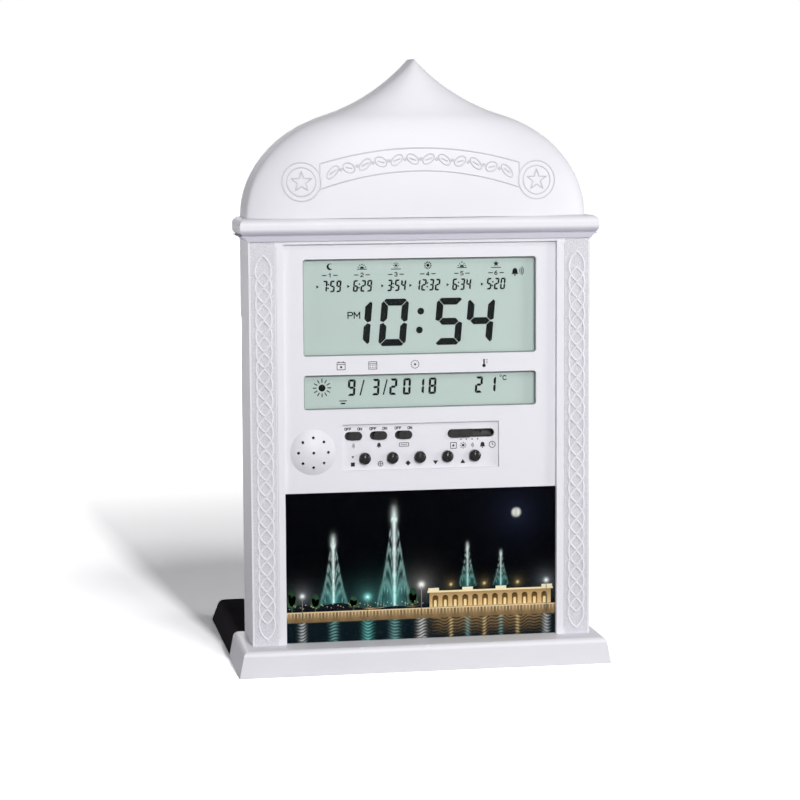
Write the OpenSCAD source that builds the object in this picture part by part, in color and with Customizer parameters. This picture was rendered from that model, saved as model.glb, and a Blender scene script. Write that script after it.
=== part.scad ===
// Digital table clock with an onion-dome case, two braided columns and a base with runner feet.
// Origin: on the floor under the middle of the base. X points right, Y to the back, Z up.

/* [Base] */
// Width of the base moulding at the floor
base_w = 205; // [196:1:230]
// Depth of the base moulding
base_d = 56; // [52:1:70]
// Height of the base moulding
base_h = 14.5; // [14:0.5:20]
// How far each end of the base leans in between floor and top
base_lean = 2.3; // [0:0.1:4]
// Radius of the base's upper edges
base_round = 3; // [1:0.5:5]
// Length of each runner foot behind the base
foot_reach = 108; // [60:1:140]
// Width of a runner foot at the floor
foot_w = 27; // [20:1:32]
// Height of a runner foot
foot_h = 11.8; // [9:0.2:12]
// Inset of each foot from the end of the base
foot_inset = 1; // [0:0.5:6]
// Length of a foot's tongue inside the base
tongue_len = 34; // [24:1:40]
// Thickness of a foot's tongue
tongue_t = 5; // [3:0.5:6]

/* [Body] */
// Distance from each end of the base to the body
body_in = 9; // [7:0.5:14]
// Height of the body between base and cornice
body_h = 218.8; // [210:1:240]
// Depth of the body without the rear cover
body_d = 38.5; // [36:0.5:50]
// Distance from the base's front to the body's front
body_setback = 15; // [10:0.5:16]
// Wall thickness of the plastic mouldings
wall = 2.2; // [1.6:0.1:2.6]
// Width of each column
column_w = 18.5; // [17:0.1:21]
// Depth of that recess
recess_deep = 2.7; // [2:0.1:4]
// Height of the rail above the recess
top_rail = 1.7; // [1:0.1:4]
// Width of the ledge that carries the front panel
ledge_w = 3; // [2:0.5:5]

/* [Braid] */
// Width of the braid on each column
braid_w = 9.5; // [8:0.1:10.5]
// Distance from one braid loop to the next
braid_pitch = 8.7; // [8:0.1:12]
// Width of a braid strand
strand_w = 0.9; // [0.6:0.1:1.4]
// How far the braid stands out from the column
strand_t = 0.5; // [0.3:0.1:0.8]
// Bare stretch above and below the braid
braid_end = 3; // [2:0.5:8]
// Width of the plain bead beside the recess
bead_w = 4; // [3:0.5:4.5]

/* [Cornice and dome] */
// How far the cornice bar stands out past each side of the body
cornice_over = 4.5; // [3.6:0.1:6]
// Height of the cornice bar
cornice_bar_h = 9.4; // [8:0.2:14]
// Height of the step under the bar
cornice_step_h = 2.6; // [2:0.1:4]
// How far the bar stands out in front of the body
cornice_out = 2.5; // [2:0.1:5]
// How far the step is set back from the bar
cornice_step_in = 1.2; // [0.6:0.1:1.8]
// Radius of the bar's rounded nose
nose_r = 3.6; // [2:0.1:4]
// Distance from each end of the cornice bar to the dome
dome_in = 4.75; // [4:0.05:8]
// Height of the dome
dome_h = 84.7; // [76:0.1:92]
// Horizontal radius of the bulb
bulb_a = 70; // [60:1:74]
// Vertical radius of the bulb
bulb_b = 58; // [56:1:64]
// Height where the bulb turns into the hollow sweep
knee_h = 54.4; // [50:0.1:55]
// Depth of the bulge at the dome's foot
dome_bulge = 15; // [8:0.5:18]
// How far the peak lies behind the dome's front
peak_back = 23; // [18:0.5:28]

/* [Front panel] */
// Distance from the control pocket to the picture below it
picture_drop = 11.7; // [8:0.1:20]
// Thickness of the front panel
panel_t = 2.2; // [1.8:0.1:2.6]
// Distance from each column to both display windows
window_in = 11; // [9:0.5:20]
// Height of the clock window
clock_win_h = 52.3; // [40:0.1:56]
// Distance from the recess top to the clock window
clock_win_drop = 8.3; // [6:0.1:10]
// Height of the calendar window
cal_win_h = 18.8; // [14:0.1:20]
// Distance between the two windows
win_gap = 10.2; // [9:0.1:12]
// Corner radius of the windows
win_r = 1.6; // [0.5:0.1:3]
// Width of the control pocket
pocket_w = 86.4; // [80:0.2:92]
// Height of the control pocket
pocket_h = 25.3; // [22:0.1:27]
// Distance from the calendar window to the control pocket
pocket_drop = 8.3; // [7:0.1:10]
// Depth of the control pocket
pocket_deep = 2; // [1.4:0.1:2.4]

/* [Controls] */
// Radius of a push button
button_r = 3.1; // [2.5:0.1:3.4]
// How far a push button stands out of the pocket floor
button_out = 3.2; // [2.4:0.1:4]
// Travel of a push button
button_travel = 0.8; // [0.4:0.1:0.9]
// Distance between push buttons
button_pitch = 15.2; // [13:0.1:16]
// Length of a small switch slot
slot_w = 9.6; // [8:0.1:10.5]
// Height of all switch slots
slot_h = 4.7; // [4:0.1:5]
// Travel of a small switch
slide_travel = 2; // [1.5:0.1:3]
// Distance between the small switches
slide_pitch = 13.8; // [13:0.1:14.5]
// Length of the selector's slot
selector_slot_w = 26; // [24:0.5:27]
// Length of the selector's knob
selector_knob_w = 13; // [10:0.5:13.5]
// Travel of the selector through its five places
selector_travel = 12; // [8:0.5:12]
// How far the knobs stand out of the pocket floor
knob_out = 1; // [0.5:0.1:1.8]
// Distance from the left column to the loudspeaker cap
cap_in = 3.1; // [2:0.1:6]
// Radius of the loudspeaker cap
cap_r = 12.5; // [11:0.1:13]
// Height of the loudspeaker cap
cap_out = 3.5; // [2:0.1:4.5]
// Distance of the cap's sound holes from its centre
cap_ring_r = 8.1; // [6:0.1:9]
// Wall of the loudspeaker cap
cap_wall = 1.8; // [1.2:0.1:2.4]
// Radius of a sound hole
sound_hole_r = 0.8; // [0.5:0.1:1.2]

/* [Inside] */
// Thickness of the clear windows
lens_t = 1.2; // [0.8:0.1:1.6]
// Thickness of a display's glass
glass_t = 2.8; // [2:0.1:3.2]
// Height of the contact strips between glass and board
strip_t = 5; // [4.5:0.1:6]
// Thickness of the circuit board
board_t = 1.6; // [1.2:0.1:2]
// Radius of the loudspeaker
speaker_r = 13; // [12.8:0.1:13.3]
// Depth of the loudspeaker's basket
speaker_deep = 5; // [4:0.2:7]
// Radius of a battery cell
cell_r = 7.25; // [6:0.05:7.5]
// Length of a battery cell
cell_len = 50; // [44:0.5:52]
// Thickness of the rear cover
cover_t = 2.5; // [2:0.1:3]
// Radius of the keyhole's round part
keyhole_r = 4.5; // [4:0.1:6]
// Radius of the case screws' shanks
screw_r = 1.45; // [1.2:0.05:1.6]

/* [Hidden] */

$fn = 48;
eps = 0.01;          // overshoot of a cut
gap = 0.15;          // clearance between fixed pieces that are fitted together
run = 0.1;           // clearance of a sliding piece on each side
seat = 0.05;         // play of a screw in its bore
buttons = 5;         // number of push buttons
slides = 3;          // number of small switches
cap_holes = 8;       // sound holes around the one in the middle
cells = 3;           // number of battery cells

nose_turn = 60;      // how far the cornice's rounding turns in under it, in degrees

// Widths
body_w = base_w - 2 * body_in;
recess_w = body_w - 2 * column_w;
cornice_w = body_w + 2 * cornice_over;
dome_w = cornice_w - 2 * dome_in;
window_w = recess_w - 2 * window_in;

// Heights
body_z = base_h;
cornice_z = body_z + body_h;
dome_z = cornice_z + cornice_step_h + cornice_bar_h;
recess_top = cornice_z - top_rail;
clock_top = recess_top - clock_win_drop;
clock_bot = clock_top - clock_win_h;
cal_top = clock_bot - win_gap;
cal_bot = cal_top - cal_win_h;
pocket_top = cal_bot - pocket_drop;
pocket_bot = pocket_top - pocket_h;
picture_top = pocket_bot - picture_drop;

// Depths, from the front to the back
base_front = -base_d / 2;
front_y = base_front + body_setback;
cornice_front = front_y - cornice_out;
panel_y = front_y + recess_deep;
ledge_y = panel_y + panel_t;
floor_y = panel_y + pocket_deep;
floor_back = floor_y + panel_t;
lens_back = ledge_y + lens_t;
glass_y = lens_back + gap;
glass_back = glass_y + glass_t;
board_y = glass_back + strip_t;
board_back = board_y + board_t;
cover_y = front_y + body_d;
cover_back = cover_y + cover_t;

// Columns
braid_x = recess_w / 2 + bead_w + (column_w - bead_w) / 2 - strand_w / 2;
braid_len = body_h - 2 * braid_end;
braid_count = floor(braid_len / braid_pitch) - 1;
post_x = recess_w / 2 + column_w / 2;
post_r = 3;
post_drop = 24;      // distance of the case posts from the body's ends

// Controls on the pocket floor
slide_in = [6.2, 6.6];      // first small switch, from the pocket's upper left corner
selector_in = 15.2;         // selector, from the pocket's right edge
button_in = [12.4, 6.4];    // first button, from the pocket's lower left corner
speaker_in = [3.7, 1.9];    // loudspeaker cap, left of the pocket and below its middle
speaker_x = -recess_w / 2 + cap_in + cap_r;
pocket_left = speaker_x + cap_r + speaker_in[0];
pocket_right = pocket_left + pocket_w;
slide_z = pocket_top - slide_in[1];
slide_x0 = pocket_left + slide_in[0];
selector_x = pocket_right - selector_in;
button_z = pocket_bot + button_in[1];
button_x0 = pocket_left + button_in[0];
speaker_z = (pocket_top + pocket_bot) / 2 - speaker_in[1];
flange_t = 1;        // thickness of the collars behind the pocket floor
flange_w = 1.1;      // how far those collars reach past their slot or hole
collar_y = floor_back + run;
switch_deep = 3.5;   // depth of the small switches on the board
switch_y = board_y - switch_deep;
lever_w = 1.6;       // side of a switch lever
lever_in = 1.2;      // how deep a lever reaches into its switch

// Display windows
lens_edge = 2.5;     // how far a lens reaches past its window
holder_wall = 1.5;   // wall of the display holder and the loudspeaker's rim
speaker_rim = speaker_r + gap + holder_wall;
rim_h = 3;           // height of the loudspeaker's rim
strip_h = 2;         // height of a contact strip

// Battery bay in the rear cover
bay_z = 40;          // height of the bay's floor
cell_gap = 0.4;      // room beside each cell
spring_room = 6;     // room for the springs at the cell's end
plate_room = 0.6;    // room for the flat contacts
bay_w = cell_len + spring_room + plate_room;
bay_h = cells * (2 * cell_r + cell_gap) + cell_gap;
bay_wall = 1.6;
door_t = 1.6;
door_lip = 2;        // how far the door overlaps the bay's mouth
cell_y = cover_back - door_t - gap - cell_gap - cell_r;
bay_y = cell_y - cell_r - cell_gap;
door_gap = 0.3;      // room over and under the door
door_bottom = bay_z + door_gap;

// Feet
foot_x = base_w / 2 - foot_inset - foot_w / 2;
foot_taper = 3.4;    // how far a foot's side leans in
foot_round = 4;
tongue_side = foot_w / 2 - foot_taper - 2 * gap;

// ---------- shared shapes ----------

// Points of an arc around c from angle a to angle b
function arc(c, r, a, b, n = 8) =
    [for (i = [0 : n]) [c[0] + r * cos(a + (b - a) * i / n), c[1] + r * sin(a + (b - a) * i / n)]];

// Rectangle standing on y = 0, centred on x, with rounded corners
module rounded(w, h, r) {
    translate([-w / 2 + r, 0]) square([w - 2 * r, h]);
    translate([-w / 2, r]) square([w, h - 2 * r]);
    for (x = [-w / 2 + r, w / 2 - r], y = [r, h - r]) translate([x, y]) circle(r);
}

// Slot with round ends, centred on the origin
module slot(w, h) {
    square([w - h, h], center = true);
    for (s = [-1, 1]) translate([s * (w - h) / 2, 0]) circle(d = h);
}

// Turns a shape drawn in X and Z into a slab that starts at y and is t deep
module slab(y, t) {
    translate([0, y + t, 0]) rotate([90, 0, 0]) linear_extrude(t) children();
}

// Turns a shape drawn in Y and Z into a bar of width w, centred on X
module bar(w) {
    translate([-w / 2, 0, 0]) rotate([90, 0, 90]) linear_extrude(w) children();
}

// Cylinder along Y from y0 to y1
module rod(x, z, r, y0, y1) {
    translate([x, y1, z]) rotate([90, 0, 0]) cylinder(r = r, h = y1 - y0);
}

// Box given by its lower and upper corners
module block(a, b) {
    translate(a) cube(b - a);
}

// Case screw along Y whose head rests at y and points to the front
module screw_y(x, z, y, r, len) {
    rod(x, z, r, y - len, y + eps);
    rod(x, z, 2 * r, y, y + r);
}

// Screw along Z whose head lies under z
module screw_z(x, y, z, r, len) {
    translate([x, y, z - eps]) cylinder(r = r, h = len);
    translate([x, y, z - r]) cylinder(r = 2 * r, h = r);
}

// ---------- base and feet ----------

post_in = [40, 11, 6];      // case screws, from the base's end, the body's front and its back
tongue_screw = [14, 8];     // foot screws, from the tongue's front and the body's back
base_post_x = base_w / 2 - post_in[0];
base_post_y = [front_y + post_in[1], cover_y - post_in[2]];
foot_screw_y = [cover_y - tongue_len + tongue_screw[0], cover_y - tongue_screw[1]];
boss_r = 3.6;
boss_h = 8;          // height of the front frame's bosses over the base
bore_skin = 1;       // plastic left over a blind bore
tip_room = 0.5;      // room past a screw's tip
body_grip = 7;       // how far the body screws reach into the front frame
cover_grip = 10;     // how far the cover screws reach into their posts
head_skin = 1;       // how deep a foot's screw head lies in its recess
head_in = screw_r + head_skin;
rib_x = 36;          // distance of the outer ribs under the base from its middle

// Outline of the base from the front, with leaning ends
module base_ends() {
    w = base_w / 2;
    t = w - base_lean;
    polygon(concat([[-w, 0], [w, 0]],
        arc([t - base_round, base_h - base_round], base_round, 0, 90),
        arc([-t + base_round, base_h - base_round], base_round, 90, 180)));
}

// Outline of the base from its side
module base_side() {
    polygon(concat([[-base_front, 0], [base_front, 0]],
        arc([base_front + base_round, base_h - base_round], base_round, 180, 90),
        [[-base_front, base_h]]));
}

// Section of a foot, grown by g
module foot_section(g = 0) {
    w = foot_w / 2 + g;
    t = w - foot_taper;
    h = foot_h + g;
    polygon(concat([[-w, 0], [w, 0]],
        arc([t - foot_round, h - foot_round], foot_round, 20, 90),
        arc([-t + foot_round, h - foot_round], foot_round, 90, 160)));
}

module base_moulding() {
    color("#d6d5dd") difference() {
        union() {
            difference() {
                intersection() {
                    slab(base_front, base_d) base_ends();
                    bar(base_w) base_side();
                }
                block([-base_w / 2 + base_lean + wall, base_front + wall, -eps],
                      [base_w / 2 - base_lean - wall, -base_front - wall, base_h - wall]);
            }
            for (x = [-rib_x, 0, rib_x])
                block([x - wall / 2, base_front + wall / 2, 0],
                      [x + wall / 2, -base_front - wall / 2, base_h - eps]);
            block([-rib_x, -wall / 2, 0], [rib_x, wall / 2, base_h - eps]);
            for (x = [-base_post_x, base_post_x], y = base_post_y)
                translate([x, y, base_h / 2]) cylinder(r = boss_r, h = base_h / 2 - eps);
            for (s = [-1, 1], y = foot_screw_y)
                translate([s * foot_x, y, tongue_t + gap])
                    cylinder(r = boss_r, h = base_h - tongue_t - gap - eps);
        }
        for (x = [-base_post_x, base_post_x], y = base_post_y)
            translate([x, y, -eps]) cylinder(r = screw_r + seat, h = base_h + 2 * eps);
        for (s = [-1, 1], y = foot_screw_y)
            translate([s * foot_x, y, -eps]) cylinder(r = screw_r + seat, h = base_h - bore_skin);
        for (s = [-1, 1])
            translate([s * foot_x, 0, -eps]) slab(-base_front - wall - eps, wall + 2 * eps) foot_section(gap);
    }
}

module foot(s) {
    y0 = -base_front - wall;
    color("#2c2a2e") translate([s * foot_x, 0, 0]) difference() {
        union() {
            slab(y0, wall + foot_reach) foot_section();
            block([-tongue_side, cover_y - tongue_len, 0], [tongue_side, y0 + eps, tongue_t]);
        }
        block([-foot_w / 2 + foot_taper + wall, -base_front + wall, -eps],
              [foot_w / 2 - foot_taper - wall, -base_front + foot_reach - wall, foot_h - wall]);
        for (y = foot_screw_y) translate([0, y, -eps]) {
            cylinder(r = screw_r + 2 * seat, h = tongue_t + 2 * eps);
            cylinder(r = 2 * screw_r + 2 * seat, h = head_in);
        }
    }
}

module left_foot() foot(-1);
module right_foot() foot(1);

module foot_screws() {
    color("#b9bcc0") for (s = [-1, 1], y = foot_screw_y)
        screw_z(s * foot_x, y, head_in - seat, screw_r, base_h - bore_skin - tip_room - head_in);
}

module body_screws() {
    color("#b9bcc0") for (x = [-base_post_x, base_post_x], y = base_post_y)
        screw_z(x, y, base_h / 2 - seat, screw_r, base_h / 2 + body_grip);
}

// ---------- front frame with the braided columns ----------

// Section of one column moulding, seen from above
module column_section() {
    x0 = recess_w / 2;
    x1 = body_w / 2;
    translate([x0, front_y]) square([x1 - x0, wall]);
    translate([x1 - wall, front_y]) square([wall, body_d]);
    translate([x0, front_y]) square([wall, ledge_y - front_y + wall]);
    translate([x0 - ledge_w, ledge_y + gap]) square([ledge_w + wall, wall]);
}

// One pointed loop of the braid, drawn as a rim
module braid_loop() {
    half = braid_w / 2;
    r = (braid_pitch * braid_pitch + half * half) / braid_w;
    difference() {
        intersection_for(s = [-1, 1]) translate([s * (r - half), 0]) circle(r);
        intersection_for(s = [-1, 1]) translate([s * (r - half), 0]) circle(r - strand_w);
    }
}

module braid() {
    for (i = [0 : braid_count - 1])
        translate([0, body_z + braid_end + braid_pitch * (i + 1)]) braid_loop();
}

module front_frame() {
    color("#dddce3") difference() {
        union() {
            for (s = [0, 1]) mirror([s, 0, 0]) {
                translate([0, 0, body_z]) linear_extrude(body_h) column_section();
                translate([braid_x, 0, 0]) slab(front_y - strand_t, strand_t + eps) braid();
                for (z = [body_z + post_drop, cornice_z - post_drop])
                    rod(post_x, z, post_r, front_y + wall / 2, cover_y - gap);
                for (y = base_post_y)
                    translate([base_post_x, y, body_z]) cylinder(r = boss_r, h = boss_h);
            }
            block([-recess_w / 2 - eps, front_y, recess_top],
                  [recess_w / 2 + eps, ledge_y + wall, cornice_z]);
            for (z = [body_z, cornice_z - wall])
                block([-body_w / 2 + wall / 2, ledge_y + gap, z],
                      [body_w / 2 - wall / 2, cover_y - gap, z + wall]);
        }
        for (s = [-1, 1]) {
            for (z = [body_z + post_drop, cornice_z - post_drop])
                rod(s * post_x, z, screw_r + seat, cover_y - cover_grip - tip_room, cover_y);
            for (y = base_post_y)
                translate([s * base_post_x, y, body_z - eps])
                    cylinder(r = screw_r + seat, h = body_grip + seat);
            block([s * (recess_w / 2 + bead_w) - strand_t / 2, front_y - eps, body_z + braid_end],
                  [s * (recess_w / 2 + bead_w) + strand_t / 2, front_y + strand_t, cornice_z - braid_end]);
        }
        rod(speaker_x, speaker_z, speaker_rim + gap, ledge_y, ledge_y + 2 * wall);
    }
}

// ---------- cornice ----------

// Outline of the cornice from the front, with rounded ends over coves
module cornice_ends() {
    w = cornice_w / 2;
    bar_z = cornice_z + cornice_step_h;
    cove = w - body_w / 2;
    cove_end = acos(max(0, min(1, (cove - cornice_step_h) / cove)));
    polygon(concat(
        arc([w, bar_z - cove], cove, 90 + cove_end, 90),
        arc([w - nose_r, bar_z + nose_r], nose_r, -nose_turn, 0),
        arc([w - nose_r, dome_z - nose_r], nose_r, 0, 90),
        arc([-w + nose_r, dome_z - nose_r], nose_r, 90, 180),
        arc([-w + nose_r, bar_z + nose_r], nose_r, 180, 180 + nose_turn),
        arc([-w, bar_z - cove], cove, 90, 90 - cove_end)));
}

// Outline of the cornice from its side
module cornice_side() {
    bar_z = cornice_z + cornice_step_h;
    polygon(concat([[cover_y, cornice_z], [cornice_front + cornice_step_in, cornice_z],
                    [cornice_front + cornice_step_in, bar_z]],
        arc([cornice_front + nose_r, bar_z + nose_r], nose_r, 180 + nose_turn, 180),
        arc([cornice_front + nose_r, dome_z - nose_r], nose_r, 180, 90),
        [[cover_y, dome_z]]));
}

module cornice() {
    color("#e2e1e7") difference() {
        intersection() {
            slab(cornice_front, cover_y - cornice_front) cornice_ends();
            bar(cornice_w) cornice_side();
        }
        block([-body_w / 2 + 2 * wall, cornice_front + nose_r + wall, cornice_z - eps],
              [body_w / 2 - 2 * wall, cover_y + eps, dome_z + eps]);
    }
}

// ---------- dome ----------

dome_steps = 22;     // rings between the dome's foot and its peak
dome_sides = 24;     // points across each ring
dome_front = cornice_front + 1;
dome_power = 2.4;    // how square the plan of the dome is
dome_thin = 0.3;     // half the width that is left at the very peak
ring_crowd = 1.25;   // how much closer the rings stand towards the peak
sweep = [bulb_edge(knee_h), knee_h];
bulb_lean = atan(bulb_a * knee_h / (bulb_b * sqrt(bulb_b * bulb_b - knee_h * knee_h)));
sweep_r = norm(sweep - [0, dome_h]) / (2 * sin(bulb_lean - atan(sweep[0] / (dome_h - knee_h))));

// Half width of the bulb at height h
function bulb_edge(h) = dome_w / 2 - bulb_a * (1 - sqrt(max(0, 1 - h * h / (bulb_b * bulb_b))));

// Centre of the hollow sweep from the knee to the peak
function sweep_centre() =
    let (p = [0, dome_h], d = p - sweep, l = norm(d))
    (p + sweep) / 2 + [d[1], -d[0]] / l * sqrt(sweep_r * sweep_r - l * l / 4);

// Half width of the dome at height h
function dome_edge(h) = h <= knee_h ? bulb_edge(h)
    : let (c = sweep_centre()) max(0, c[0] - sqrt(sweep_r * sweep_r - pow(c[1] - h, 2)));

// One ring of the dome at height h, g inside the outer skin
function dome_ring(h, g) =
    let (w = max(dome_edge(h) - g, dome_thin), share = dome_edge(h) / dome_edge(0),
         back = dome_front + dome_bulge + (peak_back - dome_bulge) * (1 - share),
         nose = min(dome_front + peak_back * (1 - sqrt(share)) + g, back - dome_thin))
    concat([[w, cover_y, h]],
        [for (i = [0 : dome_sides]) let (a = 180 * i / dome_sides, c = cos(a), e = 2 / dome_power)
            [w * sign(c) * pow(abs(c), e), back - (back - nose) * pow(sin(a), e), h]],
        [[-w, cover_y, h]]);

// Heights of the rings, closer together towards the peak
function ring_height(i, top) = top * (1 - pow(1 - i / dome_steps, ring_crowd));

// Solid dome whose skin lies g inside the outer one
module dome_solid(g) {
    n = dome_sides + 3;
    top = dome_h - (g > 0 ? 4 * g : 0);
    points = [for (i = [0 : dome_steps]) each dome_ring(ring_height(i, top), g)];
    sides = [for (i = [0 : dome_steps - 1], j = [0 : n - 1])
        [i * n + j, i * n + (j + 1) % n, (i + 1) * n + (j + 1) % n, (i + 1) * n + j]];
    polyhedron(points = points, faces = concat([[for (j = [n - 1 : -1 : 0]) j]],
        sides, [[for (j = [0 : n - 1]) dome_steps * n + j]]), convexity = 6);
}

dome_post = [42, 16];

module dome_cap() {
    color("#e6e5ea") translate([0, 0, dome_z]) difference() {
        union() {
            difference() {
                dome_solid(0);
                translate([0, eps, -eps]) dome_solid(wall);
            }
            for (s = [-1, 1])
                rod(s * dome_post[0], dome_post[1], post_r, dome_front + wall, cover_y - gap);
        }
        for (s = [-1, 1])
            rod(s * dome_post[0], dome_post[1], screw_r + seat, cover_y - cover_grip - tip_room, cover_y + eps);
    }
}

// ---------- front panel ----------

module at(x, z) {
    translate([x, z]) children();
}

// Both display windows
module windows(grow = 0) {
    at(0, clock_bot - grow) rounded(window_w + 2 * grow, clock_win_h + 2 * grow, win_r);
    at(0, cal_bot - grow) rounded(window_w + 2 * grow, cal_win_h + 2 * grow, win_r);
}

board_post_r = 2;
board_post_x = window_w / 2 + lens_edge + holder_wall / 2 + 2 * gap + board_post_r;
board_post_z = [cal_bot - 1, clock_bot - win_gap / 2, clock_top];
board_bore = 1.1;

// Radius of the ball that the loudspeaker cap is cut from
cap_sphere = (cap_r * cap_r + cap_out * cap_out) / (2 * cap_out);

// Part of a ball about the cap's centre that lies in front of y
module cap_part(r, y) {
    intersection() {
        translate([speaker_x, panel_y + cap_sphere - cap_out, speaker_z]) sphere(r);
        block([speaker_x - r, panel_y - 2 * cap_out, speaker_z - r], [speaker_x + r, y, speaker_z + r]);
    }
}

module front_panel() {
    w = recess_w - 2 * gap;
    color("#dbdae2") difference() {
        union() {
            block([-w / 2, panel_y, picture_top + gap], [w / 2, ledge_y, recess_top - gap]);
            slab(ledge_y - eps, lens_t + eps) difference() {
                windows(lens_edge + gap + holder_wall / 2);
                windows(lens_edge + gap);
            }
            block([pocket_left - wall, panel_y, pocket_bot - wall],
                  [pocket_right + wall, floor_back, pocket_top + wall]);
            rod(speaker_x, speaker_z, speaker_rim, ledge_y - eps, ledge_y + rim_h);
            for (x = [-board_post_x, board_post_x], z = board_post_z)
                rod(x, z, board_post_r, ledge_y - eps, board_y);
            cap_part(cap_sphere, panel_y + panel_t / 2);
        }
        slab(panel_y - eps, panel_t + 2 * eps) windows();
        block([pocket_left, panel_y - eps, pocket_bot], [pocket_right, floor_y, pocket_top]);
        cap_part(cap_sphere - cap_wall, ledge_y + eps);
        rod(speaker_x, speaker_z, speaker_r + gap, ledge_y, ledge_y + rim_h + eps);
        rod(speaker_x, speaker_z, sound_hole_r, panel_y - cap_out - eps, ledge_y);
        for (a = [0 : 360 / cap_holes : 359])
            rod(speaker_x + cap_ring_r * cos(a), speaker_z + cap_ring_r * sin(a), sound_hole_r,
                panel_y - cap_out - eps, ledge_y);
        for (i = [0 : buttons - 1])
            rod(button_x0 + i * button_pitch, button_z, button_r + run, floor_y - eps, floor_back + eps);
        slab(floor_y - eps, panel_t + 2 * eps) {
            for (i = [0 : slides - 1]) at(slide_x0 + i * slide_pitch, slide_z) slot(slot_w, slot_h);
            at(selector_x, slide_z) slot(selector_slot_w, slot_h);
        }
        for (x = [-board_post_x, board_post_x], z = board_post_z)
            rod(x, z, board_bore, ledge_y + 1, board_y + eps);
    }
}

// ---------- windows, picture and displays ----------

module lens(z, h) {
    color("#e8f2ee", 0.35) slab(ledge_y, lens_t)
        at(0, z - lens_edge) rounded(window_w + 2 * lens_edge, h + 2 * lens_edge, win_r);
}

module clock_lens() lens(clock_bot, clock_win_h);
module calendar_lens() lens(cal_bot, cal_win_h);

// Glass stack of a display, a little smaller than its lens
module display(z, h) {
    edge = lens_edge - holder_wall / 2;
    color("#bfcbc6") block([-window_w / 2 - edge, glass_y, z - edge],
                           [window_w / 2 + edge, glass_back, z + h + edge]);
}

module clock_display() display(clock_bot, clock_win_h);
module calendar_display() display(cal_bot, cal_win_h);

// White frame that holds both displays against the panel
module display_holder() {
    edge = lens_edge - holder_wall / 2 + gap;
    rim = edge + holder_wall;
    color("#f1f1ee") slab(glass_y, board_y - glass_y - gap) difference() {
        at(-window_w / 2 - rim, cal_bot - rim) square([window_w + 2 * rim, clock_top - cal_bot + 2 * rim]);
        for (z = [[clock_bot, clock_win_h], [cal_bot, cal_win_h]])
            at(-window_w / 2 - edge, z[0] - edge) square([window_w + 2 * edge, z[1] + 2 * edge]);
    }
}

// Rubber strips that join the displays to the board
module contact_strips() {
    color("#d98f95") for (z = [clock_bot, clock_top - strip_h, cal_bot])
        block([-window_w / 2 + strip_in, glass_back + seat, z],
              [window_w / 2 - strip_in, board_y - seat, z + strip_h]);
}

picture_t = 1.4;     // thickness of the picture's clear cover
print_t = 0.3;       // thickness of the printed card
backing_t = 1.5;     // thickness of the board behind the card

// Sheet of the picture stack, narrower by edge on each side
module picture_sheet(y, t, edge) {
    block([-recess_w / 2 + gap + edge, y, body_z + gap], [recess_w / 2 - gap - edge, y + t, picture_top - gap]);
}

module picture_lens() {
    color("#dfe8ee", 0.35) picture_sheet(panel_y, picture_t, 0);
}

module picture_print() {
    color("#101014") picture_sheet(panel_y + picture_t + seat, print_t, 0);
}

module picture_backing() {
    color("#c9b48c") translate([0, 0, wall + gap]) difference() {
        picture_sheet(panel_y + picture_t + print_t + 2 * seat, backing_t, ledge_w + gap);
        block([-recess_w, panel_y, picture_top - wall - 2 * gap], [recess_w, board_y, picture_top + wall]);
    }
}

// ---------- board and electronics ----------

board_margin = 2.5;  // board left around its screws and beside the loudspeaker
board_w = 2 * (board_post_x + board_margin);
board_top = clock_top + board_margin;
board_low = pocket_bot - board_margin;
board_step = speaker_z + speaker_r + board_margin;
board_left = speaker_x + speaker_r + board_margin;
resin_r = 5.5;       // flat part of the resin drop
resin_h = 3;
crystal_r = 1.5;
crystal_len = 8;
crystal_at = [26, clock_bot + 18];
pin_r = 0.25;
pin_len = 4;
board_screw_len = 7;
strip_in = 4;        // how far a contact strip stops short of the window's end

module main_board() {
    color("#2f6b45") slab(board_y, board_t) difference() {
        polygon([[-board_w / 2, board_top], [-board_w / 2, board_step], [board_left, board_step],
                 [board_left, board_low], [board_w / 2, board_low], [board_w / 2, board_top]]);
        for (x = [-board_post_x, board_post_x], z = board_post_z) at(x, z) circle(board_bore + gap);
    }
}

// Low drop of sealing resin over the clock circuit
module clock_chip() {
    color("#17171a") translate([0, board_back, clock_bot + clock_win_h / 2]) rotate([-90, 0, 0])
        rotate_extrude() polygon(concat([[0, 0]], arc([resin_r, 0], resin_h, 0, 90), [[0, resin_h]]));
}

module quartz_crystal() {
    color("#c3c6c9") {
        translate([crystal_at[0], board_back + crystal_r + seat, crystal_at[1]])
            cylinder(r = crystal_r, h = crystal_len);
        for (s = [-1, 1])
            translate([crystal_at[0] + s * crystal_r / 2, board_back + crystal_r / 2, crystal_at[1] - pin_len])
                cylinder(r = pin_r, h = pin_len + 2 * pin_r);
    }
}

module board_screws() {
    color("#b9bcc0") for (x = [-board_post_x, board_post_x], z = board_post_z)
        screw_y(x, z, board_back + seat, board_bore - seat, board_screw_len);
}

// ---------- push buttons ----------

button_dome = 1.2;   // height of a button's domed end
plunger_r = 1.5;     // stem of a button
key_half = 3;        // half the side of a switch under a button
key_r = 1.7;         // its plunger
key_out = 1;         // how far that plunger stands out

module push_button(i) {
    dome_r = (button_r * button_r + button_dome * button_dome) / (2 * button_dome);
    color("#141417") translate([button_x0 + i * button_pitch, 0, button_z]) {
        intersection() {
            translate([0, floor_y - button_out + dome_r, 0]) sphere(dome_r);
            rod(0, 0, button_r, floor_y - button_out - eps, floor_y);
        }
        rod(0, 0, button_r, floor_y - button_out + button_dome - eps, collar_y + eps);
        rod(0, 0, button_r + flange_w, collar_y, collar_y + flange_t);
        rod(0, 0, plunger_r, collar_y + flange_t - eps, switch_y - key_out - button_travel - run);
    }
}

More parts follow.
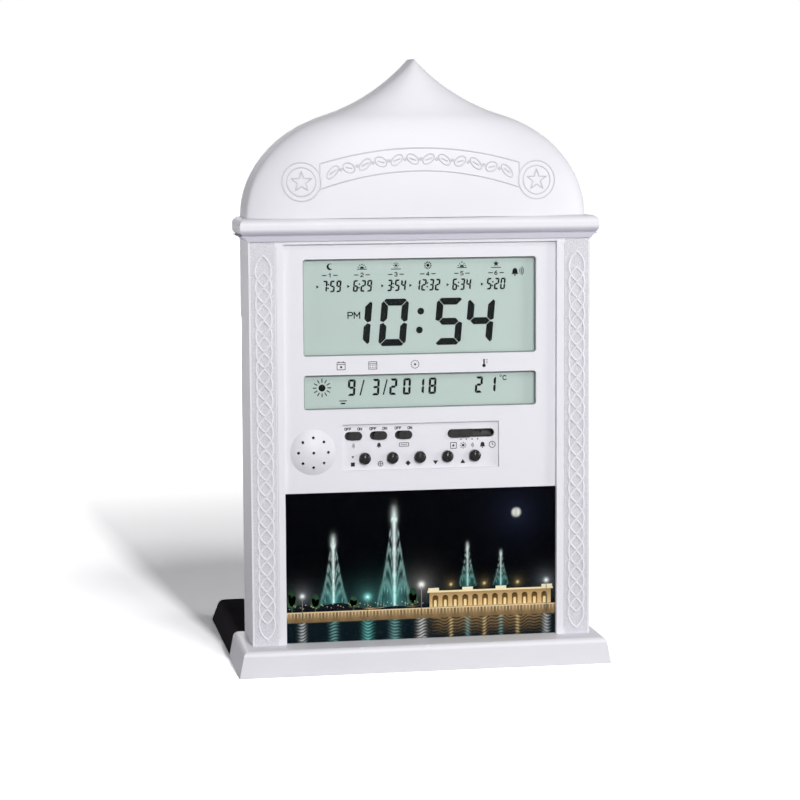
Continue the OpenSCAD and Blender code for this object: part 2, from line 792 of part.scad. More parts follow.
module push_button_1() push_button(0);
module push_button_2() push_button(1);
module push_button_3() push_button(2);
module push_button_4() push_button(3);
module push_button_5() push_button(4);

module button_switches() {
    color("#3a3a3e") for (i = [0 : buttons - 1]) translate([button_x0 + i * button_pitch, 0, button_z]) {
        block([-key_half, switch_y, -key_half], [key_half, board_y, key_half]);
        rod(0, 0, key_r, switch_y - key_out, switch_y + eps);
    }
}

// ---------- sliding switches ----------

ridge = [0.8, 0.7, 0.6];    // width, height and end distance of a knob's ridge
collar_lip = 0.8;    // how far a knob's collar reaches past its slot
metal_h = 4.8;       // height of the metal switches

// Knob with a centre ridge, a collar behind the floor and a lever into the switch
module knob(w, collar_w) {
    h = slot_h - 2 * run;
    slab(floor_y - knob_out, floor_back - floor_y + knob_out + run + eps) slot(w, h);
    block([-ridge[0] / 2, floor_y - knob_out - ridge[1], -h / 2 + ridge[2]],
          [ridge[0] / 2, floor_y, h / 2 - ridge[2]]);
    block([-collar_w / 2, collar_y, -slot_h / 2 - collar_lip],
          [collar_w / 2, collar_y + flange_t, slot_h / 2 + collar_lip]);
    block([-lever_w / 2, collar_y + flange_t - eps, -lever_w / 2],
          [lever_w / 2, switch_y + lever_in, lever_w / 2]);
}

knob_w = slot_w - slide_travel - 2 * run;

module slide_knob(i) {
    color("#141417") translate([slide_x0 + i * slide_pitch + slide_travel / 2, 0, slide_z])
        knob(knob_w, slot_w + slide_travel / 2);
}

module slide_knob_1() slide_knob(0);
module slide_knob_2() slide_knob(1);
module slide_knob_3() slide_knob(2);

// Metal switch on the board, with a slot for the lever's travel
module switch_body(w, travel) {
    difference() {
        block([-w / 2, switch_y, -metal_h / 2], [w / 2, board_y, metal_h / 2]);
        block([-(travel + lever_w) / 2 - run, switch_y - eps, -lever_w / 2 - run],
              [(travel + lever_w) / 2 + run, switch_y + lever_in + run, lever_w / 2 + run]);
    }
}

module slide_switches() {
    color("#aeb1b5") for (i = [0 : slides - 1])
        translate([slide_x0 + i * slide_pitch, 0, slide_z]) switch_body(slot_w, slide_travel);
}

module selector_knob() {
    color("#141417") translate([selector_x - selector_travel / 2, 0, slide_z])
        knob(selector_knob_w, selector_knob_w + 2 * flange_w);
}

module selector_switch() {
    color("#aeb1b5") translate([selector_x, 0, slide_z])
        switch_body(selector_slot_w, selector_travel);
}

// ---------- loudspeaker ----------

// Turns a profile of radius and depth around the loudspeaker's axis
module speaker_turn() {
    translate([speaker_x, ledge_y, speaker_z]) rotate([-90, 0, 0]) rotate_extrude() children();
}

magnet_r = speaker_r / 2;
magnet_t = 3.6;
basket_t = 0.8;      // sheet of the basket's floor
paper_t = 0.5;       // thickness of the cone's paper
cone_y = gap + 0.2;  // front of the cone's surround
dust_r = magnet_r - 1.5;    // foot of the cone's dust cap

module speaker_basket() {
    color("#9b9ea3") speaker_turn() polygon([
        [speaker_r - 2, gap], [speaker_r, gap], [speaker_r, 1], [speaker_r - 1.4, 1.4],
        [magnet_r + 2.6, speaker_deep], [0, speaker_deep], [0, speaker_deep - basket_t],
        [magnet_r + 2, speaker_deep - basket_t], [speaker_r - 2, 0.9]]);
}

module speaker_cone() {
    color("#3b3733") speaker_turn() polygon([
        [speaker_r - 2.3, cone_y], [speaker_r - 3.2, cone_y], [magnet_r, 2.4], [dust_r, 1.5],
        [0, 1], [0, 1 + paper_t], [dust_r, 1.5 + paper_t], [magnet_r - paper_t, speaker_deep - basket_t - gap],
        [magnet_r, speaker_deep - basket_t - gap], [magnet_r + 0.3, 2.4 + paper_t],
        [speaker_r - 2.3, cone_y + paper_t]]);
}

module speaker_magnet() {
    color("#5d6064") rod(speaker_x, speaker_z, magnet_r + 1, ledge_y + speaker_deep,
                         ledge_y + speaker_deep + magnet_t);
}

// ---------- rear cover and battery bay ----------

door_h = bay_h - 2 * door_gap;
hinge_r = 1.3;       // barrel along the door's lower edge
hinge_y = cover_back - hinge_r;
hinge_z = door_bottom + hinge_r;
stub_r = 0.7;        // stub pins at the barrel's ends
stub_len = 1.5;      // how far a stub pin reaches into the cover
snap = [12, 1.5, 1.2];      // width, depth and height of the door's snap rib
keyhole_z = dome_z + 16;
vent = [22, 1.8];    // length and height of a sound slot in the cover
vent_pitch = 4;
vents = 3;           // sound slots on each side of the middle one
grip = [18, 1];      // width and height of a grip groove on the door
grip_deep = 0.6;
grip_pitch = 2.4;
grip_drop = 4;       // first grip groove, from the door's top

// Outline of the whole back
module back_outline() {
    at(-body_w / 2, body_z) square([body_w, body_h + cornice_step_h + eps]);
    at(-cornice_w / 2 + nose_r, cornice_z + cornice_step_h) square([cornice_w - 2 * nose_r, cornice_bar_h]);
    at(0, dome_z - eps) polygon(concat(
        [for (i = [0 : dome_steps]) let (h = ring_height(i, dome_h)) [dome_edge(h), h]],
        [for (i = [dome_steps : -1 : 0]) let (h = ring_height(i, dome_h)) [-dome_edge(h), h]]));
}

// Rod of that radius and length along the door's hinge axis
module hinge_rod(r, len) {
    translate([-len / 2, hinge_y, hinge_z]) rotate([0, 90, 0]) cylinder(r = r, h = len);
}

module rear_cover() {
    mouth = [bay_w + 2 * door_lip, bay_h];
    hinge_len = mouth[0] + 2 * (stub_len + gap);
    color("#cfced6") difference() {
        union() {
            slab(cover_y, cover_t) back_outline();
            block([-bay_w / 2 - bay_wall, bay_y - bay_wall, bay_z - bay_wall],
                  [bay_w / 2 + bay_wall, cover_y + eps, bay_z + bay_h + bay_wall]);
        }
        block([-bay_w / 2, bay_y, bay_z], [bay_w / 2, cover_back + eps, bay_z + bay_h]);
        block([-mouth[0] / 2, cover_back - door_t - gap, bay_z],
              [mouth[0] / 2, cover_back + eps, bay_z + mouth[1]]);
        hinge_rod(stub_r + seat, hinge_len);
        for (s = [-1, 1]) {
            for (z = [body_z + post_drop, cornice_z - post_drop])
                rod(s * post_x, z, screw_r + seat, cover_y - eps, cover_back + eps);
            rod(s * dome_post[0], dome_z + dome_post[1], screw_r + seat, cover_y - eps, cover_back + eps);
        }
        rod(0, keyhole_z, keyhole_r, cover_y - eps, cover_back + eps);
        slab(cover_y - eps, cover_t + 2 * eps) at(-keyhole_r / 2, keyhole_z) {
            square([keyhole_r, 2 * keyhole_r]);
            at(keyhole_r / 2, 2 * keyhole_r) circle(keyhole_r / 2);
        }
        slab(cover_y - eps, cover_t + 2 * eps)
            for (i = [-vents : vents]) at(speaker_x, speaker_z + vent_pitch * i) slot(vent[0], vent[1]);
    }
}

module cover_screws() {
    color("#b9bcc0") for (s = [-1, 1]) {
        for (z = [body_z + post_drop, cornice_z - post_drop])
            screw_y(s * post_x, z, cover_back + seat, screw_r, cover_t + cover_grip);
        screw_y(s * dome_post[0], dome_z + dome_post[1], cover_back + seat, screw_r, cover_t + cover_grip);
    }
}

module battery_door() {
    w = bay_w + 2 * door_lip - 2 * gap;
    y0 = cover_back - door_t;
    top = door_bottom + door_h;
    color("#cfced6") difference() {
        union() {
            block([-w / 2, y0, hinge_z], [w / 2, cover_back, top]);
            hinge_rod(hinge_r, bay_w - 2 * gap);
            hinge_rod(stub_r, w + 2 * stub_len);
            block([-snap[0] / 2, y0 - snap[1], top - gap - snap[2]], [snap[0] / 2, y0 + eps, top - gap]);
        }
        for (i = [0 : 2])
            translate([0, 0, door_bottom + door_h - grip_drop - grip_pitch * i])
                block([-grip[0] / 2, cover_back - grip_deep, -grip[1]], [grip[0] / 2, cover_back + eps, 0]);
    }
}

function cell_z(i) = bay_z + cell_gap + cell_r + i * (2 * cell_r + cell_gap);
// Neighbouring cells point opposite ways
function cell_side(i) = i % 2 == 0 ? 1 : -1;
cell_shift = (spring_room - plate_room) / 2;
nipple_r = 2.75;     // nipple of a cell
nipple_h = 1;

// Puts a shape drawn along X at cell i, with its plain end on the spring's side
module at_cell(i) {
    translate([0, cell_y, cell_z(i)]) rotate([0, 0, cell_side(i) > 0 ? 0 : 180]) children();
}

module battery_cells() {
    color("#3f6f9f") for (i = [0 : cells - 1]) at_cell(i) translate([cell_shift, 0, 0]) rotate([0, 90, 0]) {
        translate([0, 0, -cell_len / 2]) cylinder(r = cell_r, h = cell_len - nipple_h);
        translate([0, 0, cell_len / 2 - nipple_h - eps]) cylinder(r = nipple_r, h = nipple_h);
    }
}

contact_t = 0.5;     // thickness of the contact metal
contact_h = 4.5;     // half the height of a contact

// Bent leaf that presses on the plain end of each cell
module leaf_contacts() {
    x0 = -bay_w / 2 + seat;
    x1 = cell_shift - cell_len / 2 - seat;
    color("#c9ccd0") for (i = [0 : cells - 1]) at_cell(i)
        translate([0, 0, -contact_h]) linear_extrude(2 * contact_h) polygon([
            [x0, -contact_h], [x0, contact_h], [x0 + contact_t, contact_h], [x1, contact_t],
            [x1, -contact_h / 2], [x1 - contact_t, -contact_h / 2], [x1 - contact_t, 0],
            [x0 + contact_t, contact_h - 2 * contact_t], [x0 + contact_t, -contact_h]]);
}

// Flat plate at the nipple end of each cell
module flat_contacts() {
    color("#c9ccd0") for (i = [0 : cells - 1]) at_cell(i)
        block([bay_w / 2 - contact_t, -contact_h, -contact_h], [bay_w / 2 - seat, contact_h, contact_h]);
}

base_moulding();
left_foot();
right_foot();
foot_screws();
body_screws();
front_frame();
cornice();
dome_cap();
front_panel();
clock_lens();
calendar_lens();
picture_lens();
picture_print();
picture_backing();
clock_display();
calendar_display();
display_holder();
contact_strips();
main_board();
clock_chip();
quartz_crystal();
board_screws();
push_button_1();
push_button_2();
push_button_3();
push_button_4();
push_button_5();
button_switches();
slide_knob_1();
slide_knob_2();
slide_knob_3();
slide_switches();
selector_knob();
selector_switch();
speaker_basket();
speaker_cone();
speaker_magnet();
rear_cover();
cover_screws();
battery_door();
battery_cells();
leaf_contacts();
flat_contacts();
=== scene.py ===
import math

import bpy
import numpy as np
from mathutils import Matrix, Vector


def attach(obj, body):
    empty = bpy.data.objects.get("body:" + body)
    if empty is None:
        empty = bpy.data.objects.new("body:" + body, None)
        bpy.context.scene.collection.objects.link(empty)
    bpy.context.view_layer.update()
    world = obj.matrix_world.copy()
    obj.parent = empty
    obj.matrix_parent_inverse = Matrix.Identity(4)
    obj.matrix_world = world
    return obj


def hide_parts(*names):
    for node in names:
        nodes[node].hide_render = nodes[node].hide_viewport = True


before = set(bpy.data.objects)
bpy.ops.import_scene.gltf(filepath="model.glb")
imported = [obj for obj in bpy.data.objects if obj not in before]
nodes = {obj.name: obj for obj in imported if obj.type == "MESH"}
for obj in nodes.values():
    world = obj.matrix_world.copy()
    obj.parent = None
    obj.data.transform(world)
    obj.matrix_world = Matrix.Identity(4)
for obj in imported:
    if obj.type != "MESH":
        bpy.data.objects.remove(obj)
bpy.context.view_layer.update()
mm = 0.001


def pickOnly(obj):
    bpy.ops.object.select_all(action="DESELECT")
    obj.select_set(True)
    bpy.context.view_layer.objects.active = obj


def settle(obj, material, body):
    # puts the object at the origin with its place in its mesh, and joins it to its body
    pickOnly(obj)
    bpy.ops.object.transform_apply(location=True, rotation=True, scale=True)
    obj.data.materials.clear()
    obj.data.materials.append(material)
    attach(obj, body)
    return obj


def faceOutwards(obj):
    pickOnly(obj)
    bpy.ops.object.mode_set(mode="EDIT")
    bpy.ops.mesh.select_all(action="SELECT")
    bpy.ops.mesh.normals_make_consistent(inside=False)
    bpy.ops.object.mode_set(mode="OBJECT")
    return obj


def joined(name, parts):
    bpy.ops.object.select_all(action="DESELECT")
    for p in parts:
        p.select_set(True)
    bpy.context.view_layer.objects.active = parts[0]
    if len(parts) > 1:
        bpy.ops.object.join()
    parts[0].name = name
    return parts[0]


def platesFrom(name, outlines, yFront, yBack):
    # thin plates with these outlines in X and Z, all in one mesh, in millimetres
    bpy.ops.object.select_all(action="DESELECT")
    bpy.ops.mesh.primitive_circle_add(vertices=len(outlines[0]), radius=1, fill_type="NGON")
    obj = bpy.context.object
    obj.name = name
    bpy.ops.object.mode_set(mode="EDIT")
    for outline in outlines[1:]:
        bpy.ops.mesh.primitive_circle_add(vertices=len(outline), radius=1, fill_type="NGON")
    bpy.ops.object.mode_set(mode="OBJECT")
    places = [p for outline in outlines for p in outline]
    for v, (x, z) in zip(obj.data.vertices, places):
        v.co = (x * mm, yBack * mm, z * mm)
    bpy.ops.object.mode_set(mode="EDIT")
    bpy.ops.mesh.select_all(action="SELECT")
    bpy.ops.mesh.extrude_region_move(
        TRANSFORM_OT_translate={"value": (0, (yFront - yBack) * mm, 0)})
    bpy.ops.object.mode_set(mode="OBJECT")
    return faceOutwards(obj)


def spot(x, z, r, a):
    return x + r * math.cos(a), z + r * math.sin(a)


def disc(x, z, r, n=24):
    return [spot(x, z, r, 2 * math.pi * i / n) for i in range(n)]


def box(x0, z0, x1, z1):
    return [(x0, z0), (x1, z0), (x1, z1), (x0, z1)]


def bar(x0, z0, x1, z1, w):
    # straight stroke of width w
    d = math.hypot(x1 - x0, z1 - z0)
    nx, nz = -(z1 - z0) / d * w / 2, (x1 - x0) / d * w / 2
    return [(x0 - nx, z0 - nz), (x1 - nx, z1 - nz), (x1 + nx, z1 + nz), (x0 + nx, z0 + nz)]


def stroke(points, w, closed=False):
    # strokes along a run of points
    ends = points[1:] + (points[:1] if closed else [])
    return [bar(*a, *b, w) for a, b in zip(points, ends)]


def ring(x, z, r, w, n=24):
    return stroke(disc(x, z, r, n), w, closed=True)


def ray(x, z, r0, r1, a, w):
    return bar(*spot(x, z, r0, a), *spot(x, z, r1, a), w)


def starOutline(x, z, r, inner):
    return [spot(x, z, r if i % 2 == 0 else inner, math.pi / 2 + math.pi * i / 5) for i in range(10)]


# camera fitted to the photo: place in millimetres, axes, lens and sensor width
view = {"place": (-240.466, -1336.683, 300.824), "right": (0.98531433, -0.17066106, -0.0055201),
        "up": (0.02485253, 0.11135224, 0.9934702), "ahead": (0.16893201, 0.97901761, -0.11395831),
        "lens": 112.5, "sensor": 36}

camData = bpy.data.cameras.new("photoCamera")
cam = bpy.data.objects.new("photoCamera", camData)
bpy.context.scene.collection.objects.link(cam)
camData.lens = view["lens"]
camData.sensor_width = view["sensor"]
camData.clip_start, camData.clip_end = 0.05, 60
turn = Matrix([view["right"], view["up"], [-a for a in view["ahead"]]]).transposed()
cam.matrix_world = Matrix.Translation(Vector(view["place"]) * mm) @ turn.to_4x4()
bpy.context.scene.camera = cam
bpy.context.scene.view_settings.view_transform = "Standard"

lamps = {
    # azimuth from the front towards the right and elevation in degrees, distance and size in metres;
    # white unless a colour is given
    "keyLamp": {"azimuth": 5, "elevation": 19, "away": 3.0, "size": 0.16, "watts": 49},
    "highLamp": {"azimuth": 14, "elevation": 44, "away": 3.0, "size": 0.5, "watts": 18},
    "rightFill": {"azimuth": 66, "elevation": 7, "away": 0.9, "size": 0.25, "watts": 2.4},
    "leftFill": {"azimuth": -80, "elevation": 6, "away": 2.2, "size": 1.0, "watts": 12,
                 "colour": (0.95, 0.96, 1.0)},
    "backFill": {"azimuth": 178, "elevation": 3, "away": 2.4, "size": 0.5, "watts": 10},
}
lampTarget = Vector((0, 0, 0.165))
for name, lampSet in lamps.items():
    data = bpy.data.lights.new(name, "AREA")
    data.shape, data.size, data.energy = "SQUARE", lampSet["size"], lampSet["watts"]
    data.color = lampSet.get("colour", (1, 1, 1))
    lamp = bpy.data.objects.new(name, data)
    bpy.context.scene.collection.objects.link(lamp)
    a, e = math.radians(lampSet["azimuth"]), math.radians(lampSet["elevation"])
    towards = Vector((math.sin(a) * math.cos(e), -math.cos(a) * math.cos(e), math.sin(e)))
    lamp.location = lampTarget + towards * lampSet["away"]
    lamp.rotation_euler = (-towards).to_track_quat("-Z", "Y").to_euler()


def mathStep(t, op, a, b=None):
    # one math node on numbers or sockets
    n = t.nodes.new("ShaderNodeMath")
    n.operation = op
    for i, v in enumerate((a, b)):
        if isinstance(v, (int, float)):
            n.inputs[i].default_value = v
        elif v is not None:
            t.links.new(v, n.inputs[i])
    return n.outputs[0]


def isBackgroundRay(t):
    # 1 for camera, mirrored and transmitted rays
    path = t.nodes.new("ShaderNodeLightPath").outputs
    direct = mathStep(t, "MAXIMUM", path["Is Camera Ray"], path["Is Glossy Ray"])
    return mathStep(t, "MAXIMUM", direct, path["Is Transmission Ray"])


studio = {"fill": (0.93, 0.935, 0.97), "fillStrength": 0.04, "background": 1.0}
world = bpy.data.worlds.new("studio")
bpy.context.scene.world = world
world.use_nodes = True
wt = world.node_tree
wt.nodes.clear()
soft, white = wt.nodes.new("ShaderNodeBackground"), wt.nodes.new("ShaderNodeBackground")
soft.inputs["Color"].default_value = (*studio["fill"], 1)
soft.inputs["Strength"].default_value = studio["fillStrength"]
white.inputs["Color"].default_value = (1, 1, 1, 1)
white.inputs["Strength"].default_value = studio["background"]
mix, out = wt.nodes.new("ShaderNodeMixShader"), wt.nodes.new("ShaderNodeOutputWorld")
wt.links.new(isBackgroundRay(wt), mix.inputs[0])
wt.links.new(soft.outputs[0], mix.inputs[1])
wt.links.new(white.outputs[0], mix.inputs[2])
wt.links.new(mix.outputs[0], out.inputs[0])

# near the object the floor takes its shadow; further off it fades into the white background
floorLook = {"size": 40, "z": -0.0001, "paint": 0.5, "mirrored": 1.6, "seen": 2.6, "fadeFrom": 0.30,
             "fadeTo": 1.1}
bpy.ops.mesh.primitive_plane_add(size=floorLook["size"], location=(0, 0, floorLook["z"]))
floor = bpy.context.object
floor.name = "floor"
floorPaint = bpy.data.materials.new("floorPaint")
floorPaint.use_nodes = True
ft = floorPaint.node_tree
ft.nodes.clear()
matt, glow = ft.nodes.new("ShaderNodeBsdfDiffuse"), ft.nodes.new("ShaderNodeEmission")
seen, camRay = isBackgroundRay(ft), ft.nodes.new("ShaderNodeLightPath")
mirrored, paint = ft.nodes.new("ShaderNodeMix"), ft.nodes.new("ShaderNodeMix")
mirrored.data_type = paint.data_type = "RGBA"
for socket, tone in ((mirrored.inputs["A"], "paint"), (mirrored.inputs["B"], "mirrored"),
                     (paint.inputs["B"], "seen")):
    socket.default_value = (*(floorLook[tone],) * 3, 1)
ft.links.new(seen, mirrored.inputs["Factor"])
ft.links.new(mirrored.outputs["Result"], paint.inputs["A"])
ft.links.new(camRay.outputs["Is Camera Ray"], paint.inputs["Factor"])
ft.links.new(paint.outputs["Result"], matt.inputs["Color"])
place, far = ft.nodes.new("ShaderNodeTexCoord"), ft.nodes.new("ShaderNodeVectorMath")
far.operation = "LENGTH"
ft.links.new(place.outputs["Object"], far.inputs[0])
fade = ft.nodes.new("ShaderNodeMapRange")
fade.interpolation_type = "SMOOTHSTEP"
fade.inputs["From Min"].default_value = floorLook["fadeFrom"]
fade.inputs["From Max"].default_value = floorLook["fadeTo"]
ft.links.new(far.outputs["Value"], fade.inputs["Value"])
ft.links.new(mathStep(ft, "MULTIPLY", seen, fade.outputs["Result"]), glow.inputs["Strength"])
add, out = ft.nodes.new("ShaderNodeAddShader"), ft.nodes.new("ShaderNodeOutputMaterial")
ft.links.new(matt.outputs[0], add.inputs[0])
ft.links.new(glow.outputs[0], add.inputs[1])
ft.links.new(add.outputs[0], out.inputs[0])
floor.data.materials.append(floorPaint)
print("camera, lamps and floor ready")


def makeGrainGroup():
    # fine moulded grain: a height for bump and a slow tint mask
    group = bpy.data.node_groups.new("mouldedGrain", "ShaderNodeTree")
    for socket, way, kind in (("Vector", "INPUT", "Vector"), ("Grain Scale", "INPUT", "Float"),
                              ("Tint Scale", "INPUT", "Float"), ("Height", "OUTPUT", "Float"),
                              ("Tint", "OUTPUT", "Float")):
        group.interface.new_socket(socket, in_out=way, socket_type="NodeSocket" + kind)
    gin, gout = group.nodes.new("NodeGroupInput"), group.nodes.new("NodeGroupOutput")
    for scale, detail, result in (("Grain Scale", 3, "Height"), ("Tint Scale", 2, "Tint")):
        noise = group.nodes.new("ShaderNodeTexNoise")
        noise.inputs["Detail"].default_value = detail
        group.links.new(gin.outputs["Vector"], noise.inputs["Vector"])
        group.links.new(gin.outputs[scale], noise.inputs["Scale"])
        group.links.new(noise.outputs[0], gout.inputs[result])
    return group


grainGroup = makeGrainGroup()


def grainNode(t, grainScale, tintScale):
    coords, grain = t.nodes.new("ShaderNodeTexCoord"), t.nodes.new("ShaderNodeGroup")
    grain.node_tree = grainGroup
    grain.inputs["Grain Scale"].default_value = grainScale
    grain.inputs["Tint Scale"].default_value = tintScale
    t.links.new(coords.outputs["Object"], grain.inputs["Vector"])
    return coords, grain


roughSway = 0.04


def grainedMaterial(name, look, mask=None):
    # look: dark and light colour, roughness, grain and tint scale, bump depth, and plain socket values
    m = bpy.data.materials.new(name)
    m.use_nodes = True
    t = m.node_tree
    bsdf = t.nodes["Principled BSDF"]
    coords, grain = grainNode(t, look["grain"], look["tint"])
    tint = t.nodes.new("ShaderNodeMix")
    tint.data_type = "RGBA"
    tint.inputs["A"].default_value = (*look["dark"], 1)
    tint.inputs["B"].default_value = (*look["light"], 1)
    t.links.new(grain.outputs["Tint"], tint.inputs["Factor"])
    t.links.new(tint.outputs["Result"], bsdf.inputs["Base Color"])
    rough = t.nodes.new("ShaderNodeMapRange")
    rough.inputs["To Min"].default_value = look["rough"] - roughSway
    rough.inputs["To Max"].default_value = look["rough"] + roughSway
    t.links.new(grain.outputs["Tint"], rough.inputs["Value"])
    t.links.new(rough.outputs["Result"], bsdf.inputs["Roughness"])
    bump = t.nodes.new("ShaderNodeBump")
    bump.inputs["Strength"].default_value = 1.0
    bump.inputs["Distance"].default_value = look["depth"] * mm
    height = grain.outputs["Height"]
    if mask:
        height = mask(t, coords, height)
    t.links.new(height, bump.inputs["Height"])
    t.links.new(bump.outputs["Normal"], bsdf.inputs["Normal"])
    for socket, value in look.get("plain", {}).items():
        bsdf.inputs[socket].default_value = value
    return m


# where the sunk ground lies across and in depth, in metres, its dots, and the tone of its painted shade
stippleAndShadeLook = {"inner": 0.0795, "outer": 0.0925, "front": -0.0126, "proud": -0.01306, "scale": 1200,
               "depth": 1.5, "shade": (0.70, 0.70, 0.72), "mottle": 0.8}


def toned(t, colour, factor):
    # multiplies the base colour by a darker tone where factor is 1; here it paints shade
    shade = t.nodes.new("ShaderNodeMix")
    shade.data_type, shade.blend_type = "RGBA", "MULTIPLY"
    shade.inputs["B"].default_value = (*colour, 1)
    t.links.new(factor, shade.inputs["Factor"])
    base = t.nodes["Principled BSDF"].inputs["Base Color"]
    t.links.new(base.links[0].from_socket, shade.inputs["A"])
    t.links.new(shade.outputs["Result"], base)


def axes(t, coords):
    split = t.nodes.new("ShaderNodeSeparateXYZ")
    t.links.new(coords.outputs["Object"], split.inputs[0])
    return split.outputs


def columnStippleAndShade(t, coords, height):
    # coarse stipple bumps on the sunk ground of the columns, which is also darkened by painted shade broken
    # into stipple dots; the fine grain elsewhere
    place = axes(t, coords)
    side = mathStep(t, "ABSOLUTE", place["X"])
    inside = mathStep(t, "MULTIPLY", mathStep(t, "GREATER_THAN", side, stippleAndShadeLook["inner"]),
                      mathStep(t, "LESS_THAN", side, stippleAndShadeLook["outer"]))
    sunk = mathStep(t, "MULTIPLY", mathStep(t, "LESS_THAN", place["Y"], stippleAndShadeLook["front"]),
                    mathStep(t, "GREATER_THAN", place["Y"], stippleAndShadeLook["proud"]))
    zone = mathStep(t, "MULTIPLY", inside, sunk)
    dots = t.nodes.new("ShaderNodeTexVoronoi")
    dots.inputs["Scale"].default_value = stippleAndShadeLook["scale"]
    t.links.new(coords.outputs["Object"], dots.inputs["Vector"])
    off = dots.outputs["Distance"]
    paler = mathStep(t, "SUBTRACT", 1.0, mathStep(t, "MULTIPLY", off, stippleAndShadeLook["mottle"]))
    toned(t, stippleAndShadeLook["shade"], mathStep(t, "MULTIPLY", zone, paler))
    coarse = mathStep(t, "MULTIPLY", off, stippleAndShadeLook["depth"])
    return mathStep(t, "ADD", height, mathStep(t, "MULTIPLY", coarse, zone))


# painted shade: heights in metres between which the cornice's cove darkens, and its darker tone
coveShadeLook = {"low": 0.2378, "high": 0.2405, "tone": (0.70, 0.69, 0.74)}


def paintCoveShade(t, coords, height):
    # painted shade: the cove under the nose is darkened by height, standing in for the shadow of the nose
    # above it
    coveShadeRamp = t.nodes.new("ShaderNodeMapRange")
    coveShadeRamp.interpolation_type = "SMOOTHSTEP"
    for socket, level in (("From Min", "high"), ("From Max", "low")):
        coveShadeRamp.inputs[socket].default_value = coveShadeLook[level]
    t.links.new(axes(t, coords)["Z"], coveShadeRamp.inputs["Value"])
    toned(t, coveShadeLook["tone"], coveShadeRamp.outputs["Result"])
    return height


silver = {"dark": (0.735, 0.73, 0.775), "light": (0.79, 0.785, 0.825), "rough": 0.5, "grain": 2600,
          "tint": 26, "depth": 0.02, "plain": {"Metallic": 0.06, "Specular IOR Level": 0.12}}
looks = {
    "silver": silver,
    # the cornice's silver, with painted shade in its cove
    "silverPaintedCoveShade": silver,
    "column": {**silver, "rough": 0.46, "depth": 0.075},
    "panel": {**silver, "dark": (0.715, 0.71, 0.76), "light": (0.77, 0.765, 0.81), "grain": 2300, "tint": 20},
    # painted shade: the ornament's beads are a darker silver than the dome, standing in for shade on their
    # relief
    "ornamentPaintedShadeSilver": {**silver, "dark": (0.60, 0.595, 0.63), "light": (0.66, 0.655, 0.69), "rough": 0.45},
    "blackFoot": {"dark": (0.030, 0.027, 0.030), "light": (0.048, 0.043, 0.047), "rough": 0.52, "grain": 1700,
                  "tint": 40, "depth": 0.05, "plain": {"Specular IOR Level": 0.0}},
    "blackGloss": {"dark": (0.006, 0.006, 0.007), "light": (0.012, 0.012, 0.013), "rough": 0.17,
                   "grain": 2600, "tint": 90, "depth": 0.001, "plain": {"Specular IOR Level": 0.22}},
    "backBoard": {"dark": (0.46, 0.36, 0.22), "light": (0.56, 0.45, 0.29), "rough": 0.85, "grain": 900,
                  "tint": 120, "depth": 0.08},
    "liquidCrystal": {"dark": (0.470, 0.560, 0.532), "light": (0.515, 0.600, 0.572), "rough": 0.36,
                      "grain": 3600, "tint": 14, "depth": 0.003, "plain": {"Specular IOR Level": 0.15}},
    "whitePlastic": {"dark": (0.82, 0.82, 0.80), "light": (0.88, 0.88, 0.86), "rough": 0.5, "grain": 1800,
                     "tint": 40, "depth": 0.02},
    "pinkRubber": {"dark": (0.62, 0.28, 0.30), "light": (0.72, 0.35, 0.36), "rough": 0.75, "grain": 1500,
                   "tint": 160, "depth": 0.04},
    "boardGreen": {"dark": (0.016, 0.105, 0.042), "light": (0.030, 0.150, 0.062), "rough": 0.36, "grain": 700,
                   "tint": 220, "depth": 0.02},
    "resin": {"dark": (0.006, 0.006, 0.007), "light": (0.014, 0.014, 0.015), "rough": 0.3, "grain": 700,
              "tint": 160, "depth": 0.05},
    "brightSteel": {"dark": (0.34, 0.345, 0.36), "light": (0.46, 0.465, 0.48), "rough": 0.34, "grain": 2200,
                    "tint": 200, "depth": 0.01, "plain": {"Metallic": 1.0}},
    "speakerPaper": {"dark": (0.022, 0.019, 0.017), "light": (0.045, 0.040, 0.035), "rough": 0.9,
                     "grain": 1300, "tint": 220, "depth": 0.09},
    "switchPlastic": {"dark": (0.030, 0.030, 0.033), "light": (0.052, 0.052, 0.057), "rough": 0.5,
                      "grain": 1900, "tint": 120, "depth": 0.02},
    "cellWrap": {"dark": (0.030, 0.115, 0.290), "light": (0.045, 0.150, 0.350), "rough": 0.3, "grain": 900,
                 "tint": 60, "depth": 0.01, "plain": {"Coat Weight": 0.3}},
    "contactMetal": {"dark": (0.62, 0.60, 0.56), "light": (0.74, 0.72, 0.68), "rough": 0.3, "grain": 2100,
                     "tint": 200, "depth": 0.01, "plain": {"Metallic": 1.0}},
    "segmentInk": {"dark": (0.010, 0.012, 0.012), "light": (0.020, 0.023, 0.022), "rough": 0.4, "grain": 2400,
                   "tint": 80, "depth": 0.002, "plain": {"Specular IOR Level": 0.0}},
    "printInk": {"dark": (0.018, 0.018, 0.020), "light": (0.030, 0.030, 0.034), "rough": 0.55, "grain": 2400,
                 "tint": 80, "depth": 0.003, "plain": {"Specular IOR Level": 0.1}},
    # painted shade: dark green-grey for the rings along the display windows' rims
    "windowPaintedShade": {"dark": (0.115, 0.145, 0.137), "light": (0.150, 0.185, 0.175), "rough": 0.4, "grain": 2400,
                   "tint": 50, "depth": 0.003},
}
masks = {"column": columnStippleAndShade, "silverPaintedCoveShade": paintCoveShade}
mats = {k: grainedMaterial(k, v, masks.get(k)) for k, v in looks.items()}


clearLook = {"tint": (0.98, 1.0, 0.99), "rough": 0.03, "ior": 1.05}


